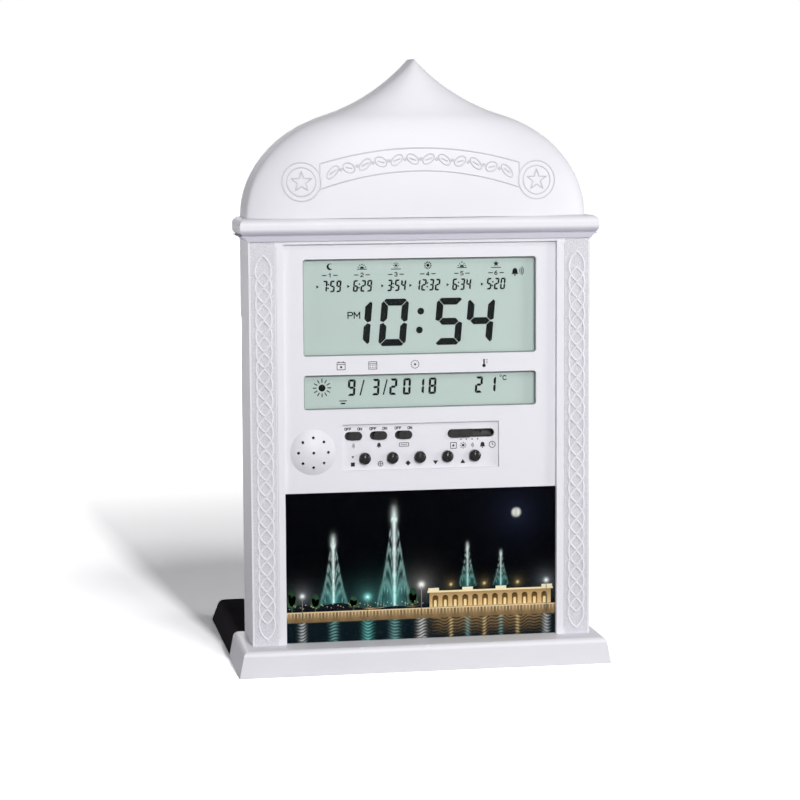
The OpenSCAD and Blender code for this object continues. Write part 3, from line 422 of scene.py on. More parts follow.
def makeClear():
    # clear window: glass for what is seen, open for light that falls through
    m = bpy.data.materials.new("clearWindow")
    m.use_nodes = True
    t = m.node_tree
    glass = t.nodes["Principled BSDF"]
    glass.inputs["Base Color"].default_value = (*clearLook["tint"], 1)
    glass.inputs["Roughness"].default_value = clearLook["rough"]
    glass.inputs["IOR"].default_value = clearLook["ior"]
    glass.inputs["Transmission Weight"].default_value = 1.0
    openShader, mixer = t.nodes.new("ShaderNodeBsdfTransparent"), t.nodes.new("ShaderNodeMixShader")
    path = t.nodes.new("ShaderNodeLightPath").outputs
    t.links.new(mathStep(t, "MAXIMUM", path["Is Shadow Ray"], path["Is Diffuse Ray"]), mixer.inputs[0])
    t.links.new(glass.outputs[0], mixer.inputs[1])
    t.links.new(openShader.outputs[0], mixer.inputs[2])
    t.links.new(mixer.outputs[0], t.nodes["Material Output"].inputs["Surface"])
    return m


mats["clearWindow"] = makeClear()

finishOf = {
    "silver": ["base_moulding", "rear_cover", "battery_door"],
    "silverPaintedCoveShade": ["cornice"],
    "column": ["front_frame"],
    "panel": ["front_panel"],
    "blackFoot": ["left_foot", "right_foot"],
    "blackGloss": [*("push_button_%d" % i for i in range(1, 6)), *("slide_knob_%d" % i for i in range(1, 4)),
                   "selector_knob"],
    "clearWindow": ["clock_lens", "calendar_lens", "picture_lens"],
    "backBoard": ["picture_backing"],
    "liquidCrystal": ["clock_display", "calendar_display"],
    "whitePlastic": ["display_holder"],
    "pinkRubber": ["contact_strips"],
    "boardGreen": ["main_board"],
    "resin": ["clock_chip"],
    "brightSteel": ["quartz_crystal", "foot_screws", "body_screws", "board_screws", "cover_screws",
                    "speaker_basket", "speaker_magnet"],
    "switchPlastic": ["button_switches", "slide_switches", "selector_switch"],
    "speakerPaper": ["speaker_cone"],
    "cellWrap": ["battery_cells"],
    "contactMetal": ["leaf_contacts", "flat_contacts"],
}
for finish, names in finishOf.items():
    for n in names:
        nodes[n].data.materials.clear()
        nodes[n].data.materials.append(mats[finish])
print("materials ready")


dome = {"foot": 245.3, "halfWidth": 93.25, "across": 70.0, "up": 58.0, "knee": 54.4, "height": 84.7,
        "front": -14.5, "bulge": 15.0, "peakBack": 23.0, "power": 2.4, "back": 25.5, "wall": 2.2,
        "rows": 72, "columns": 96, "rowPower": 1.35, "thin": 0.3,
        # the wall's share grows from wallLeast over this half width
        "wallLeast": 0.02, "wallFrom": 0.5, "wallOver": 9}


def bulbEdge(h):
    return dome["halfWidth"] - dome["across"] * (1 - math.sqrt(max(0, 1 - (h / dome["up"]) ** 2)))


def sweepCircle():
    # circle of the hollow sweep, which leaves the bulb at the knee without a kink
    k, a, b, top = dome["knee"], dome["across"], dome["up"], dome["height"]
    x = bulbEdge(k)
    chord = math.hypot(x, top - k)
    lean = math.atan(a * k / (b * math.sqrt(b * b - k * k)))
    r = chord / (2 * math.sin(lean - math.atan(x / (top - k))))
    reach = math.sqrt(r * r - chord * chord / 4)
    return x / 2 + (top - k) / chord * reach, (top + k) / 2 + x / chord * reach, r


sweepX, sweepZ, sweepR = sweepCircle()


def domeEdge(h):
    if h <= dome["knee"]:
        return bulbEdge(h)
    return max(0.0, sweepX - math.sqrt(max(0.0, sweepR ** 2 - (sweepZ - h) ** 2)))


def domeDepths(h):
    # where the curved front starts and how far forward it comes at height h
    share = domeEdge(h) / domeEdge(0)
    back = dome["front"] + dome["bulge"] + (dome["peakBack"] - dome["bulge"]) * (1 - share)
    nose = min(dome["front"] + dome["peakBack"] * (1 - math.sqrt(share)), back - dome["thin"])
    return back, nose


def domeY(x, z):
    h = z - dome["foot"]
    back, nose = domeDepths(h)
    part = min(1.0, abs(x) / max(domeEdge(h), dome["thin"]))
    return back - (back - nose) * (1 - part ** dome["power"]) ** (1 / dome["power"])


def makeDome():
    rows, cols = dome["rows"], dome["columns"]
    bpy.ops.object.select_all(action="DESELECT")
    bpy.ops.mesh.primitive_grid_add(x_subdivisions=cols + 2, y_subdivisions=rows, size=1)
    shell = bpy.context.object
    shell.name = "domeShell"
    perRow = cols + 3
    e = 2 / dome["power"]
    for i in range(rows + 1):
        h = dome["height"] * (1 - (1 - i / rows) ** dome["rowPower"])
        # the last ring shuts to a ridge
        w = max(domeEdge(h), dome["thin"]) if i < rows else 0
        back, nose = domeDepths(h)
        places = [(w, dome["back"])]
        for j in range(cols + 1):
            a = math.pi * j / cols
            c, s = math.cos(a), max(0.0, math.sin(a))
            places.append((w * math.copysign(abs(c) ** e, c), back - (back - nose) * s ** e))
        places.append((-w, dome["back"]))
        for j, (x, y) in enumerate(places):
            shell.data.vertices[i * perRow + j].co = (x * mm, y * mm, (dome["foot"] + h) * mm)
    pickOnly(shell)
    bpy.ops.object.mode_set(mode="EDIT")
    bpy.ops.mesh.select_all(action="SELECT")
    bpy.ops.mesh.remove_doubles(threshold=1e-6)
    bpy.ops.object.mode_set(mode="OBJECT")
    faceOutwards(shell)
    wall = shell.modifiers.new("wall", "SOLIDIFY")
    wall.thickness = dome["wall"] * mm
    wall.offset = -1
    share = shell.vertex_groups.new(name="wallShare")
    for v in shell.data.vertices:
        w = domeEdge(v.co.z / mm - dome["foot"])
        part = min(1.0, max(dome["wallLeast"], (w - dome["wallFrom"]) / dome["wallOver"]))
        share.add([v.index], part, "REPLACE")
    wall.vertex_group = "wallShare"
    # the open shell has to face the viewer before it gets its wall
    middle = shell.data.polygons[len(shell.data.polygons) // 2 + cols // 2]
    if middle.normal.y > 0:
        shell.data.flip_normals()
    bpy.ops.object.modifier_apply(modifier="wall")
    bpy.ops.object.shade_smooth_by_angle(angle=math.radians(40))
    return shell


domePost = {"x": 42, "z": 261.3, "r": 3.0, "bore": 1.5, "front": -11.0, "back": 25.3, "sides": 24}


def makePost(x):
    # screw post inside the dome, a turned tube along Y
    bpy.ops.object.select_all(action="DESELECT")
    bpy.ops.mesh.primitive_torus_add(major_segments=domePost["sides"], minor_segments=4, major_radius=1,
                                     minor_radius=0.5)
    post = bpy.context.object
    profile = [(domePost[r], domePost[y]) for r, y in
               (("r", "front"), ("r", "back"), ("bore", "back"), ("bore", "front"))]
    for i, v in enumerate(post.data.vertices):
        r, y = profile[i % 4]
        px, pz = spot(x, domePost["z"], r, 2 * math.pi * (i // 4) / domePost["sides"])
        v.co = (px * mm, y * mm, pz * mm)
    return faceOutwards(post)


domeShell = joined("domeShell", [makeDome(), makePost(-domePost["x"]), makePost(domePost["x"])])
settle(domeShell, mats["silver"], "case")
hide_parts("dome_cap")

# ledges that close the cornice's opening at the dome's two front corners
ledge = {"outer": 89.05, "inner": 70, "front": -9.65, "back": 0.5, "top": 245.25, "thick": 2.0}


def makeLedges():
    corners = [(ledge[x], ledge[y]) for x, y in (("outer", "front"), ("outer", "back"), ("inner", "front"))]
    plates = platesFrom("domeLedges", [corners, [(-x, y) for x, y in reversed(corners)]],
                        -ledge["top"], ledge["thick"] - ledge["top"])
    for v in plates.data.vertices:
        x, y, z = v.co
        v.co = (x, z, -y)
    return faceOutwards(plates)


settle(makeLedges(), mats["silver"], "case")
print("dome ready")


ornament = {"medalX": 64.2, "medalZ": 264.7, "rings": (10.3, 7.7), "starOut": 5.9, "starIn": 2.35,
            "line": 0.42, "bandHalf": 54.3, "topMid": 282.3, "topEnd": 274.2, "lowMid": 270.2,
            "lowEnd": 260.8, "leaves": 12, "margin": 2.5, "beadR": 0.55,
            # shares of a leaf's pitch across and of the band's height
            "leafMid": 0.52, "leafLong": 0.36, "leafHigh": 0.20, "leafTilt": 0.10, "vein": 0.20,
            "veinTilt": 0.055}


def raisedLines(name, runs, r, depthAt):
    # round beads at the depth that depthAt gives; runs is a list of (points, closed)
    data = bpy.data.curves.new(name, "CURVE")
    data.dimensions = "3D"
    data.bevel_depth = r * mm
    data.bevel_resolution = 1
    data.use_fill_caps = True
    for points, closed in runs:
        line = data.splines.new("POLY")
        line.points.add(len(points) - 1)
        line.use_cyclic_u = closed
        for p, (x, z) in zip(line.points, points):
            p.co = (x * mm, depthAt(x, z) * mm, z * mm, 1)
    obj = bpy.data.objects.new(name, data)
    bpy.context.scene.collection.objects.link(obj)
    pickOnly(obj)
    bpy.ops.object.convert(target="MESH")
    bpy.ops.object.shade_smooth_by_angle(angle=math.radians(50))
    return bpy.context.object


def arch(mid, end, x):
    # height of an arch through (0, mid) and (bandHalf, end)
    k = (mid - end) / ornament["bandHalf"] ** 2
    return mid - k * x * x


def bandPoint(x, v):
    low, top = (arch(ornament[a], ornament[b], x) for a, b in (("lowMid", "lowEnd"), ("topMid", "topEnd")))
    return x, low + (top - low) * v


def leafPoint(x0, step, tilt, a, side):
    # rim of a leaf whose middle is at x0; side is 1 above its vein and -1 below
    o = ornament
    return bandPoint(x0 + o["leafLong"] * step * math.cos(a),
                     o["leafMid"] + side * o["leafHigh"] * math.sin(a) + o["leafTilt"] * tilt * math.cos(a))


def ornamentRuns():
    o = ornament
    runs = []
    for s in (-1, 1):
        cx = s * o["medalX"]
        for r in o["rings"]:
            runs.append((disc(cx, o["medalZ"], r, 56), True))
        star = starOutline(cx, o["medalZ"], o["starOut"], o["starIn"])
        fine = [((1 - k / 4) * a[0] + k / 4 * b[0], (1 - k / 4) * a[1] + k / 4 * b[1])
                for a, b in zip(star, star[1:] + star[:1]) for k in range(4)]
        runs.append((fine, True))
    half = o["bandHalf"]
    xs = [half * (2 * i / 60 - 1) for i in range(61)]
    outer = [bandPoint(x, 1.0) for x in xs] + [bandPoint(x, 0.0) for x in reversed(xs)]
    runs.append((outer, True))
    # a chain of leaves that lean in turn to each side, with small beads between them
    step = 2 * (half - o["margin"]) / o["leaves"]
    for i in range(o["leaves"]):
        x0 = -half + o["margin"] + step * (i + 0.5)
        tilt = 1 if i % 2 == 0 else -1
        leaf = [leafPoint(x0, step, tilt, math.pi * k / 16, 1) for k in range(17)]
        leaf += [leafPoint(x0, step, tilt, math.pi * (1 - k / 16), -1) for k in range(1, 16)]
        runs.append((leaf, True))
        vein = [(x0 + o["vein"] * step * (k / 4 - 1), o["leafMid"] + o["veinTilt"] * tilt * (k / 4 - 1))
                for k in range(9)]
        runs.append(([bandPoint(x, v) for x, v in vein], False))
        if i:
            runs.append((disc(*bandPoint(x0 - step / 2, o["leafMid"]), o["beadR"], 10), True))
    return runs


settle(raisedLines("domeOrnament", ornamentRuns(), ornament["line"], domeY),
       mats["ornamentPaintedShadeSilver"], "case")
print("dome ornament ready")


braid = {"x": 85.8, "low": 17.5, "pitch": 8.7, "loops": 23, "half": 4.75, "strand": 0.9, "bead": 0.6,
         "depth": -13.12}


def braidRuns():
    # rounded strands over the columns' flat ones: each loop is two arcs that meet in points
    b, runs = braid, []
    r = (b["pitch"] ** 2 + b["half"] ** 2) / (2 * b["half"])
    shift, mid = r - b["half"], r - b["strand"] / 2
    reach = math.acos(shift / mid)
    for i in range(b["loops"]):
        z = b["low"] + b["pitch"] * (i + 1)
        for side in (-1, 1):
            for s in (-1, 1):
                runs.append(([(side * b["x"] + s * (mid * math.cos(a) - shift), z + mid * math.sin(a))
                              for a in (reach * (k / 7 - 1) for k in range(15))], False))
    return runs


settle(raisedLines("braidStrands", braidRuns(), braid["bead"], lambda x, z: braid["depth"]),
       mats["silver"], "case")
print("braid ready")


lit = {"0": "abcdef", "1": "bc", "2": "abged", "3": "abgcd", "4": "fgbc", "5": "afgcd", "6": "afgedc",
       "7": "abc", "8": "abcdefg", "9": "abfgcd"}


def figure(ch, x0, z0, w, h, t, gap, lean):
    # outlines of one seven-segment figure whose lower left corner is at x0, z0
    c, m = t * 0.55, h / 2
    top = [(c + gap, h), (w - c - gap, h), (w - c / 2 - gap, h - c / 2), (w - t - gap, h - t),
           (t + gap, h - t), (c / 2 + gap, h - c / 2)]
    left = [(0, h - c - gap), (c / 2, h - c / 2 - gap), (t, h - t - gap), (t, m + t / 2 + gap),
            (t / 2, m + gap), (0, m + gap + t * 0.2)]
    middle = [(t / 2 + gap, m), (t + gap, m + t / 2), (w - t - gap, m + t / 2), (w - t / 2 - gap, m),
              (w - t - gap, m - t / 2), (t + gap, m - t / 2)]
    shapes = {"a": top, "d": [(x, h - z) for x, z in top], "f": left, "e": [(x, h - z) for x, z in left],
              "b": [(w - x, z) for x, z in left], "c": [(w - x, h - z) for x, z in left], "g": middle}
    return [[(x0 + x + lean * z, z0 + z) for x, z in shapes[s]] for s in lit[ch]]


clockFace = {"z": 175.6, "w": 15.0, "h": 25.6, "t": 3.75, "gap": 0.2, "lean": 0.09,
             "figures": (("1", -42.9), ("0", -22.9), ("5", 7.5), ("4", 24.8)),
             "dots": ((0.7, 194.2), (-0.1, 184.0)), "dotR": 1.85,
             "half": ("PM", -36.2, 192.6, 3.3, 0.6), "bell": (52.9, 214.9, 2.0), "waves": (54.6, 215.2, 1.7)}
smallFace = {"z": 205.3, "w": 2.75, "h": 6.3, "t": 0.92, "gap": 0.05, "lean": 0.1, "pitch": 3.4, "dotR": 0.46,
             "times": (("7:59", -53.4), ("6:29", -36.6), ("3:54", -18.0), ("12:32", -2.6), ("6:34", 17.9),
                       ("5:20", 36.9)),
             "pointer": ((-2.9, 207.4), (-1.5, 208.3), (-2.9, 209.2))}
dateFace = {"z": 148.9, "w": 4.2, "h": 9.0, "t": 1.28, "gap": 0.07, "lean": 0.06,
            "figures": (("9", -39.9), ("3", -26.7), ("2", -17.0), ("0", -9.5), ("1", -2.1), ("8", 4.6),
                        ("2", 30.4), ("1", 37.7)),
            "slashes": (-32.9, -20.2), "sun": (-53.7, 153.6), "degree": (44.9, 158.0, 0.5, 0.3, 12),
            "unit": ("C", 47.1, 156.9, 2.2, 0.5)}
# fronts of the two display glasses, of the panel, of its pocket's floor and of the windows' rims
glassFront, panelFace, pocketFace, rimFace = -6.75, -10.3, -8.3, -8.1


def figureSet(style, figures):
    found = []
    for ch, x in figures:
        found += figure(ch, x, style["z"], style["w"], style["h"], style["t"], style["gap"], style["lean"])
    return found


def smallTime(text, x):
    s, found = smallFace, []
    for ch in text:
        if ch == ":":
            for z in (s["h"] * 0.34, s["h"] * 0.66):
                found.append(disc(x - 0.1 + s["lean"] * z, s["z"] + z, s["dotR"], 10))
            x += 0.75
        else:
            found += figure(ch, x, s["z"], s["w"], s["h"], s["t"], s["gap"], s["lean"])
            x += s["pitch"]
    return found


def bellOutlines(x, z, k):
    cup = [(-1.0, -0.7), (1.0, -0.7), (0.72, -0.3), (0.66, 0.35), (0.42, 0.8), (0, 0.98), (-0.42, 0.8),
           (-0.66, 0.35), (-0.72, -0.3)]
    return [[(x + k * a, z + k * b) for a, b in cup], disc(x, z - 0.98 * k, 0.24 * k, 10)]


def waveOutlines(x, z, k):
    found = []
    for r in (0.7, 1.25, 1.8):
        found += stroke([spot(x, z, k * r, math.radians(-48 + 16 * i)) for i in range(7)], 0.24 * k)
    return found


days = {"centres": (-48.9, -31.4, -12.8, 4.7, 23.5, 42.4), "iconZ": 219.0, "numberZ": 214.4, "number": 2.0,
        "line": 0.42, "horizon": 2.7}


def sunOutlines(x, z, k, rays=8):
    found = [disc(x, z, 0.42 * k, 14)]
    return found + [ray(x, z, 0.62 * k, 1.05 * k, 2 * math.pi * i / rays, 0.24 * k) for i in range(rays)]


def horizon(x, z):
    return bar(x - days["horizon"], z, x + days["horizon"], z, days["line"])


def lowSun(x, z, up):
    # half a sun on the horizon, with a mark for rising or setting
    found = [[spot(x, z, 1.15, math.pi * i / 10) for i in range(11)], horizon(x, z - 0.35)]
    found += [ray(x, z, 1.6, 2.5, math.radians(d), days["line"]) for d in (22, 56, 124, 158)]
    tip = 3.1 if up else 1.7
    found.append([(x - 0.65, z + 2.4), (x + 0.65, z + 2.4), (x, z + tip)])
    return found


def moonOutline(x, z, r):
    outer = [spot(x, z, r, math.radians(50 + 13 * i)) for i in range(21)]
    inner = [spot(x + r * 0.45, z + r * 0.18, r * 0.80, math.radians(290 - 11.5 * i)) for i in range(19)]
    return outer + inner


def dayOutlines():
    # night, sunset, afternoon, noon, sunrise and dawn, from the left
    c, z, low = days["centres"], days["iconZ"], days["numberZ"]
    found = [moonOutline(c[0], z, 1.75)] + lowSun(c[1], z - 1.2, False)
    found += sunOutlines(c[2], z + 0.2, 1.5) + [horizon(c[2], z - 1.75)]
    found += sunOutlines(c[3], z, 2.05, 12) + lowSun(c[4], z - 1.2, True)
    found += [starOutline(c[5], z + 0.35, 1.75, 0.735), horizon(c[5], z - 1.75)]
    for x in c:
        found += [bar(x + s * 1.9, low, x + s * 4.3, low, 0.5) for s in (-1, 1)]
    return found


def clockOutlines():
    found = figureSet(clockFace, clockFace["figures"]) + dayOutlines()
    found += [disc(x, z, clockFace["dotR"]) for x, z in clockFace["dots"]]
    for text, x in smallFace["times"]:
        found += smallTime(text, x)
        found.append([(x + dx, z) for dx, z in smallFace["pointer"]])
    return found + bellOutlines(*clockFace["bell"]) + waveOutlines(*clockFace["waves"])


def dateOutlines():
    d = dateFace
    found = figureSet(d, d["figures"])
    found += [bar(x, d["z"] + 0.2, x + 2.2, d["z"] + d["h"] - 0.4, 0.75) for x in d["slashes"]]
    found.append(disc(*d["sun"], 1.9, 28))
    found += [ray(*d["sun"], 2.9, 5.0, math.pi * i / 6, 0.55) for i in range(12)]
    found += [bar(-44.4, 146.3, -40.2, 146.3, 0.5), bar(-43.6, 144.9, -41.0, 144.9, 0.8)]
    return found


# strokes of each letter and number, in shares of its height
letters = {"O": [[(0.22, 0), (0, 0.22), (0, 0.78), (0.22, 1), (0.58, 1), (0.8, 0.78), (0.8, 0.22), (0.58, 0),
                  (0.22, 0)]],
           "F": [[(0, 0), (0, 1), (0.74, 1)], [(0, 0.52), (0.6, 0.52)]],
           "N": [[(0, 0), (0, 1), (0.78, 0), (0.78, 1)]],
           "P": [[(0, 0), (0, 1), (0.56, 1), (0.76, 0.86), (0.76, 0.62), (0.56, 0.47), (0, 0.47)]],
           "M": [[(0, 0), (0, 1), (0.46, 0.34), (0.92, 1), (0.92, 0)]],
           "C": [[(0.8, 0.84), (0.58, 1), (0.22, 1), (0, 0.78), (0, 0.22), (0.22, 0), (0.58, 0),
                  (0.8, 0.16)]],
           "1": [[(0.18, 0.74), (0.48, 1), (0.48, 0)]],
           "2": [[(0.04, 0.8), (0.24, 1), (0.56, 1), (0.74, 0.8), (0.74, 0.62), (0, 0), (0.76, 0)]],
           "3": [[(0.02, 0.94), (0.24, 1), (0.56, 1), (0.74, 0.78), (0.56, 0.54), (0.3, 0.54)],
                 [(0.56, 0.54), (0.76, 0.3), (0.56, 0), (0.2, 0), (0, 0.12)]],
           "4": [[(0.56, 0), (0.56, 1), (0, 0.3), (0.78, 0.3)]],
           "5": [[(0.7, 1), (0.1, 1), (0.04, 0.54), (0.52, 0.6), (0.74, 0.4), (0.7, 0.12), (0.5, 0),
                  (0.02, 0.04)]],
           "6": [[(0.6, 1), (0.2, 0.76), (0, 0.4), (0.06, 0.12), (0.3, 0), (0.56, 0.02), (0.74, 0.24),
                  (0.6, 0.52), (0.3, 0.56), (0.04, 0.42)]]}


def lettering(text, x, z, height, w):
    # stroke letters centred on x and z, their strokes w wide and a little past each corner
    pitch, found = 1.02 * height, []
    left = x - (pitch * (len(text) - 1) + 0.8 * height) / 2
    for i, ch in enumerate(text):
        for run in letters[ch]:
            points = [(left + i * pitch + a * height, z - height / 2 + b * height) for a, b in run]
            for (x0, z0), (x1, z1) in zip(points, points[1:]):
                d = math.hypot(x1 - x0, z1 - z0)
                ux, uz = (x1 - x0) / d * w * 0.4, (z1 - z0) / d * w * 0.4
                found.append(bar(x0 - ux, z0 - uz, x1 + ux, z1 + uz, w))
    return found


def printed(name, outlines, face, proud, ink, root=0.01):
    # flat marks on a face, rooted a little in it
    settle(platesFrom(name, outlines, face - proud, face + root), mats[ink], "case")


clockShapes = clockOutlines() + lettering(*clockFace["half"])
for i, x in enumerate(days["centres"]):
    clockShapes += lettering(str(i + 1), x, days["numberZ"], days["number"], days["line"])
printed("clockFigures", clockShapes, glassFront, 0.03, "segmentInk")
dateShapes = dateOutlines() + ring(*dateFace["degree"]) + lettering(*dateFace["unit"])
printed("dateFigures", dateShapes, glassFront, 0.03, "segmentInk")
print("figures ready")


marks = {"headingZ": 165.7, "line": 0.34, "offOnZ": 130.95, "offOn": (("OFF", -3.2), ("ON", 3.3)),
         "word": (1.25, 0.36), "slots": (-36.8, -23.0, -9.2), "under": 121.8, "dotsZ": 123.8,
         "dots": (22.3, 25.4, 28.6, 31.7), "places": (18.2, 23.6, 29.0, 34.4, 39.8), "placeZ": 120.5,
         "buttons": (-37.4, -22.2, -7.0, 8.2, 23.4), "buttonZ": 111.6}


def panelMarks():
    # a date page, a month grid, a year ring and a thermometer
    z, w = marks["headingZ"], marks["line"]
    page = stroke(box(-45.9, z - 2.1, -41.5, z + 1.9), w, True)
    page += [bar(-45.9, z + 0.8, -41.5, z + 0.8, w), disc(-43.7, z - 0.65, 0.62, 14)]
    page += [bar(x, z + 1.5, x, z + 2.5, w) for x in (-44.9, -42.5)]
    grid = stroke(box(-28.6, z - 2.1, -24.2, z + 1.9), w, True) + [bar(-28.6, z + 0.8, -24.2, z + 0.8, w)]
    grid += [disc(-27.7 + 1.3 * i, z - 0.1 - 1.1 * j, 0.3, 8) for i in range(3) for j in range(2)]
    year = [disc(*spot(-3.2, z, 2.1, math.pi * i / 6), w, 8) for i in range(12)] + [disc(-3.2, z, 0.62, 14)]
    bulb = [disc(34.9, z - 1.5, 0.95, 20), bar(34.9, z - 1.6, 34.9, z + 2.1, 0.85)]
    bulb += [bar(35.9, z + k, 36.9, z + k, 0.26) for k in (-0.1, 0.8, 1.7)]
    return page + grid + year + bulb


def pocketMarks():
    # under the slides a sound, a bell and a display; then the selector's five places; then the buttons
    m, w = marks, marks["line"]
    (a, b, c), u = m["slots"], m["under"]
    found = waveOutlines(a - 1.5, u, 1.05) + bellOutlines(b, u + 0.1, 1.4)
    found += stroke(box(c - 2.6, u - 0.95, c + 2.6, u + 0.95), w, True)
    found += [disc(c + k, u, 0.32, 8) for k in (-1.4, -0.5, 0.5, 1.4)]
    found += [disc(x, m["dotsZ"], 0.38, 10) for x in m["dots"]]
    p, z = m["places"], m["placeZ"]
    found += stroke(box(p[0] - 1.6, z - 1.6, p[0] + 1.6, z + 1.6), 0.36, True)
    found.append(starOutline(p[0], z, 1.05, 0.441))
    found += sunOutlines(p[1], z, 1.75)
    found += waveOutlines(p[2] - 1.5, z, 1.05)
    found += bellOutlines(p[3], z + 0.1, 1.6)
    found += ring(p[4], z, 1.7, 0.36, 22)
    found += [bar(p[4], z, p[4], z + 1.15, w), bar(p[4], z, p[4] + 0.85, z, w)]
    q, z, s = m["buttons"], m["buttonZ"], 1.1
    found.append(box(q[0] - s, z - s, q[0] + s, z + s))
    found += ring(q[1], z, 1.35, 0.36, 20)
    found += [bar(q[1] - 1.35, z, q[1] + 1.35, z, 0.3), bar(q[1], z - 1.35, q[1], z + 1.35, 0.3)]
    found.append([(q[2], z - 1.5), (q[2] + 1.5, z), (q[2], z + 1.5), (q[2] - 1.5, z)])
    found.append([(q[3] - 1.45, z + 0.95), (q[3], z - 1.3), (q[3] + 1.45, z + 0.95)])
    found.append([(q[4] - 1.45, z - 0.95), (q[4] + 1.45, z - 0.95), (q[4], z + 1.3)])
    found.append([(q[0] - 0.75, 116.1), (q[0] + 0.0, 114.9), (q[0] + 0.75, 116.1)])
    return found


printed("panelMarks", panelMarks(), panelFace, 0.025, "printInk")
switchWords = []
for x in marks["slots"]:
    for word, dx in marks["offOn"]:
        switchWords += lettering(word, x + dx, marks["offOnZ"], *marks["word"])
printed("pocketMarks", pocketMarks() + switchWords, pocketFace, 0.025, "printInk")

# painted shade: thin dark rings printed round the display windows, standing in for shade on the walls of
# their cut-outs
windows = {"half": 64.0, "line": 0.55, "clock": (171.0, 223.3), "date": (142.0, 160.8)}


def windowShadeRing(z0, z1):
    x, d = windows["half"], windows["line"] / 2
    return stroke(box(-x + d, z0 + d, x - d, z1 - d), windows["line"], True)


windowShadeRings = windowShadeRing(*windows["clock"]) + windowShadeRing(*windows["date"])
printed("windowPaintedShadeLines", windowShadeRings, rimFace, 0.03, "windowPaintedShade")
print("printed marks ready")


night = {"x": 74.85, "z0": 14.65, "z1": 96.55, "across": 300, "up": 164, "front": -8.78, "back": -8.55,
         "aspect": 1.83, "shore": 0.215, "water": 0.13,
         # share across, share up, radius, colour, strength
         "glows": ((0.060, 0.31, 0.036, (0.95, 0.98, 1.0), 0.95),
                   (0.300, 0.29, 0.052, (0.25, 0.85, 0.78), 1.0),
                   (0.500, 0.36, 0.046, (1.0, 0.97, 0.92), 1.1),
                   *((u, 0.355, 0.020, (1.0, 0.74, 0.34), 0.9) for u in (0.610, 0.735, 0.860)),
                   (0.968, 0.36, 0.036, (0.9, 0.97, 1.0), 0.9)),
         # share across, foot, height, width, strength
         "jets": ((0.175, 0.22, 0.50, 0.030, 1.0), (0.400, 0.22, 0.68, 0.036, 1.0),
                  (0.672, 0.34, 0.30, 0.018, 0.8), (0.797, 0.34, 0.24, 0.016, 0.75)),
         # share across, share up, radius, halo
         "moon": (0.855, 0.83, 0.031, 0.10)}


def tinted(share, colour):
    return share[:, None] * np.array(colour)


def jetLight(u, v, jet):
    # one fountain: a bright core, a feathered head and water falling in arcs on both sides
    cu, foot, tall, w, power = jet
    x = np.abs(u - cu) * night["aspect"]
    t = (v - foot) / tall
    inside = (t >= 0) & (t <= 1.02)
    core = np.exp(-(x / (w * (0.16 + 0.20 * np.clip(t, 0, 1)))) ** 2) * inside * np.clip((1.02 - t) * 5, 0, 1)
    head = 0.55 * np.exp(-(x / (w * 0.62)) ** 2 - ((t - 0.90) / 0.085) ** 2)
    falls = np.zeros(len(u))
    for k in range(5):
        reach, top = w * (0.42 + 0.30 * k), 0.90 - 0.165 * k
        path = top * (1 - (x / reach - 1) ** 2)
        strand = np.exp(-((t - path) / (0.022 + 0.008 * k)) ** 2) * (x < 2 * reach) * (t > 0)
        falls = np.maximum(falls, strand * (0.80 - 0.11 * k))
    mist = 0.30 * np.exp(-(x / (w * 1.9)) ** 2 - ((t - 0.05) / 0.22) ** 2) * (t > -0.02)
    cool = np.clip(1 - t, 0, 1)[:, None]
    tone = cool * np.array([0.26, 0.84, 0.76]) + (1 - cool) * np.array([0.88, 0.98, 0.95])
    pure = np.array([0.93, 1.0, 0.98])
    return power * (core[:, None] * (0.35 * tone + 0.65 * pure) + (head + falls)[:, None] * tone * 0.72
                    + tinted(mist, [0.16, 0.62, 0.58]))


def nightColours(u, v):
    # colour of the card at each point, u across and v up, from 0 to 1
    n = night
    dice = np.random.default_rng(11)
    out = np.zeros((len(u), 3)) + np.array([0.0012, 0.0014, 0.0022])
    out += tinted(np.clip((0.50 - v) / 0.30, 0, 1) ** 2, [0.007, 0.013, 0.020])
    moonU, moonV, moonR, halo = n["moon"]
    moon = np.hypot((u - moonU) * n["aspect"], v - moonV)
    out += tinted(np.exp(-(moon / moonR) ** 6) * (0.86 + 0.14 * np.sin(u * 300)), [0.80, 0.80, 0.74])
    out += tinted(0.05 * np.exp(-(moon / halo)), [0.20, 0.26, 0.62])
    for cu, cv, r, colour, power in n["glows"]:
        d = np.hypot((u - cu) * n["aspect"], v - cv)
        out += tinted(power * (np.exp(-(d / (r * 0.40)) ** 2) + 0.22 * np.exp(-d / (r * 0.95))), colour)
    for jet in n["jets"]:
        sparkle = 0.80 + 0.28 * dice.random(len(u))
        out += jetLight(u, v, jet) * sparkle[:, None]
    shore = (v < n["shore"]) & (v >= n["water"])
    wash = 0.5 + 0.5 * np.sin(u * 128)
    warm = tinted(0.40 + 0.60 * wash * np.clip((v - n["water"]) / 0.085, 0, 1), [0.52, 0.33, 0.15])
    out = np.where(shore[:, None], 0.22 * out + warm, out)
    ripple = 0.50 + 0.50 * np.sin(v * 300 + 4 * np.sin(u * 46) + 2.0 * np.sin(u * 131))
    pool = np.zeros((len(u), 3)) + np.array([0.004, 0.010, 0.014])
    for cu, cv, r, colour, power in n["glows"]:
        pool += tinted(0.60 * power * np.exp(-((u - cu) / (r * 0.32)) ** 2) * ripple, colour)
    for cu, foot, tall, w, power in n["jets"]:
        pool += tinted(0.42 * power * np.exp(-((u - cu) / (w * 0.45)) ** 2) * ripple, [0.4, 0.88, 0.82])
    gold = np.clip((u - 0.52) * 20, 0, 1) * np.clip((0.985 - u) * 20, 0, 1)
    pool += tinted(0.34 * ripple * gold * np.clip(v / n["water"], 0, 1), [0.85, 0.52, 0.20])
    return np.clip(np.where((v < n["water"])[:, None], pool, out), 0, 1)


nightInk = {"layer": "paint", "rough": 0.42, "grain": 3200, "tint": 900, "mottle": 0.12}


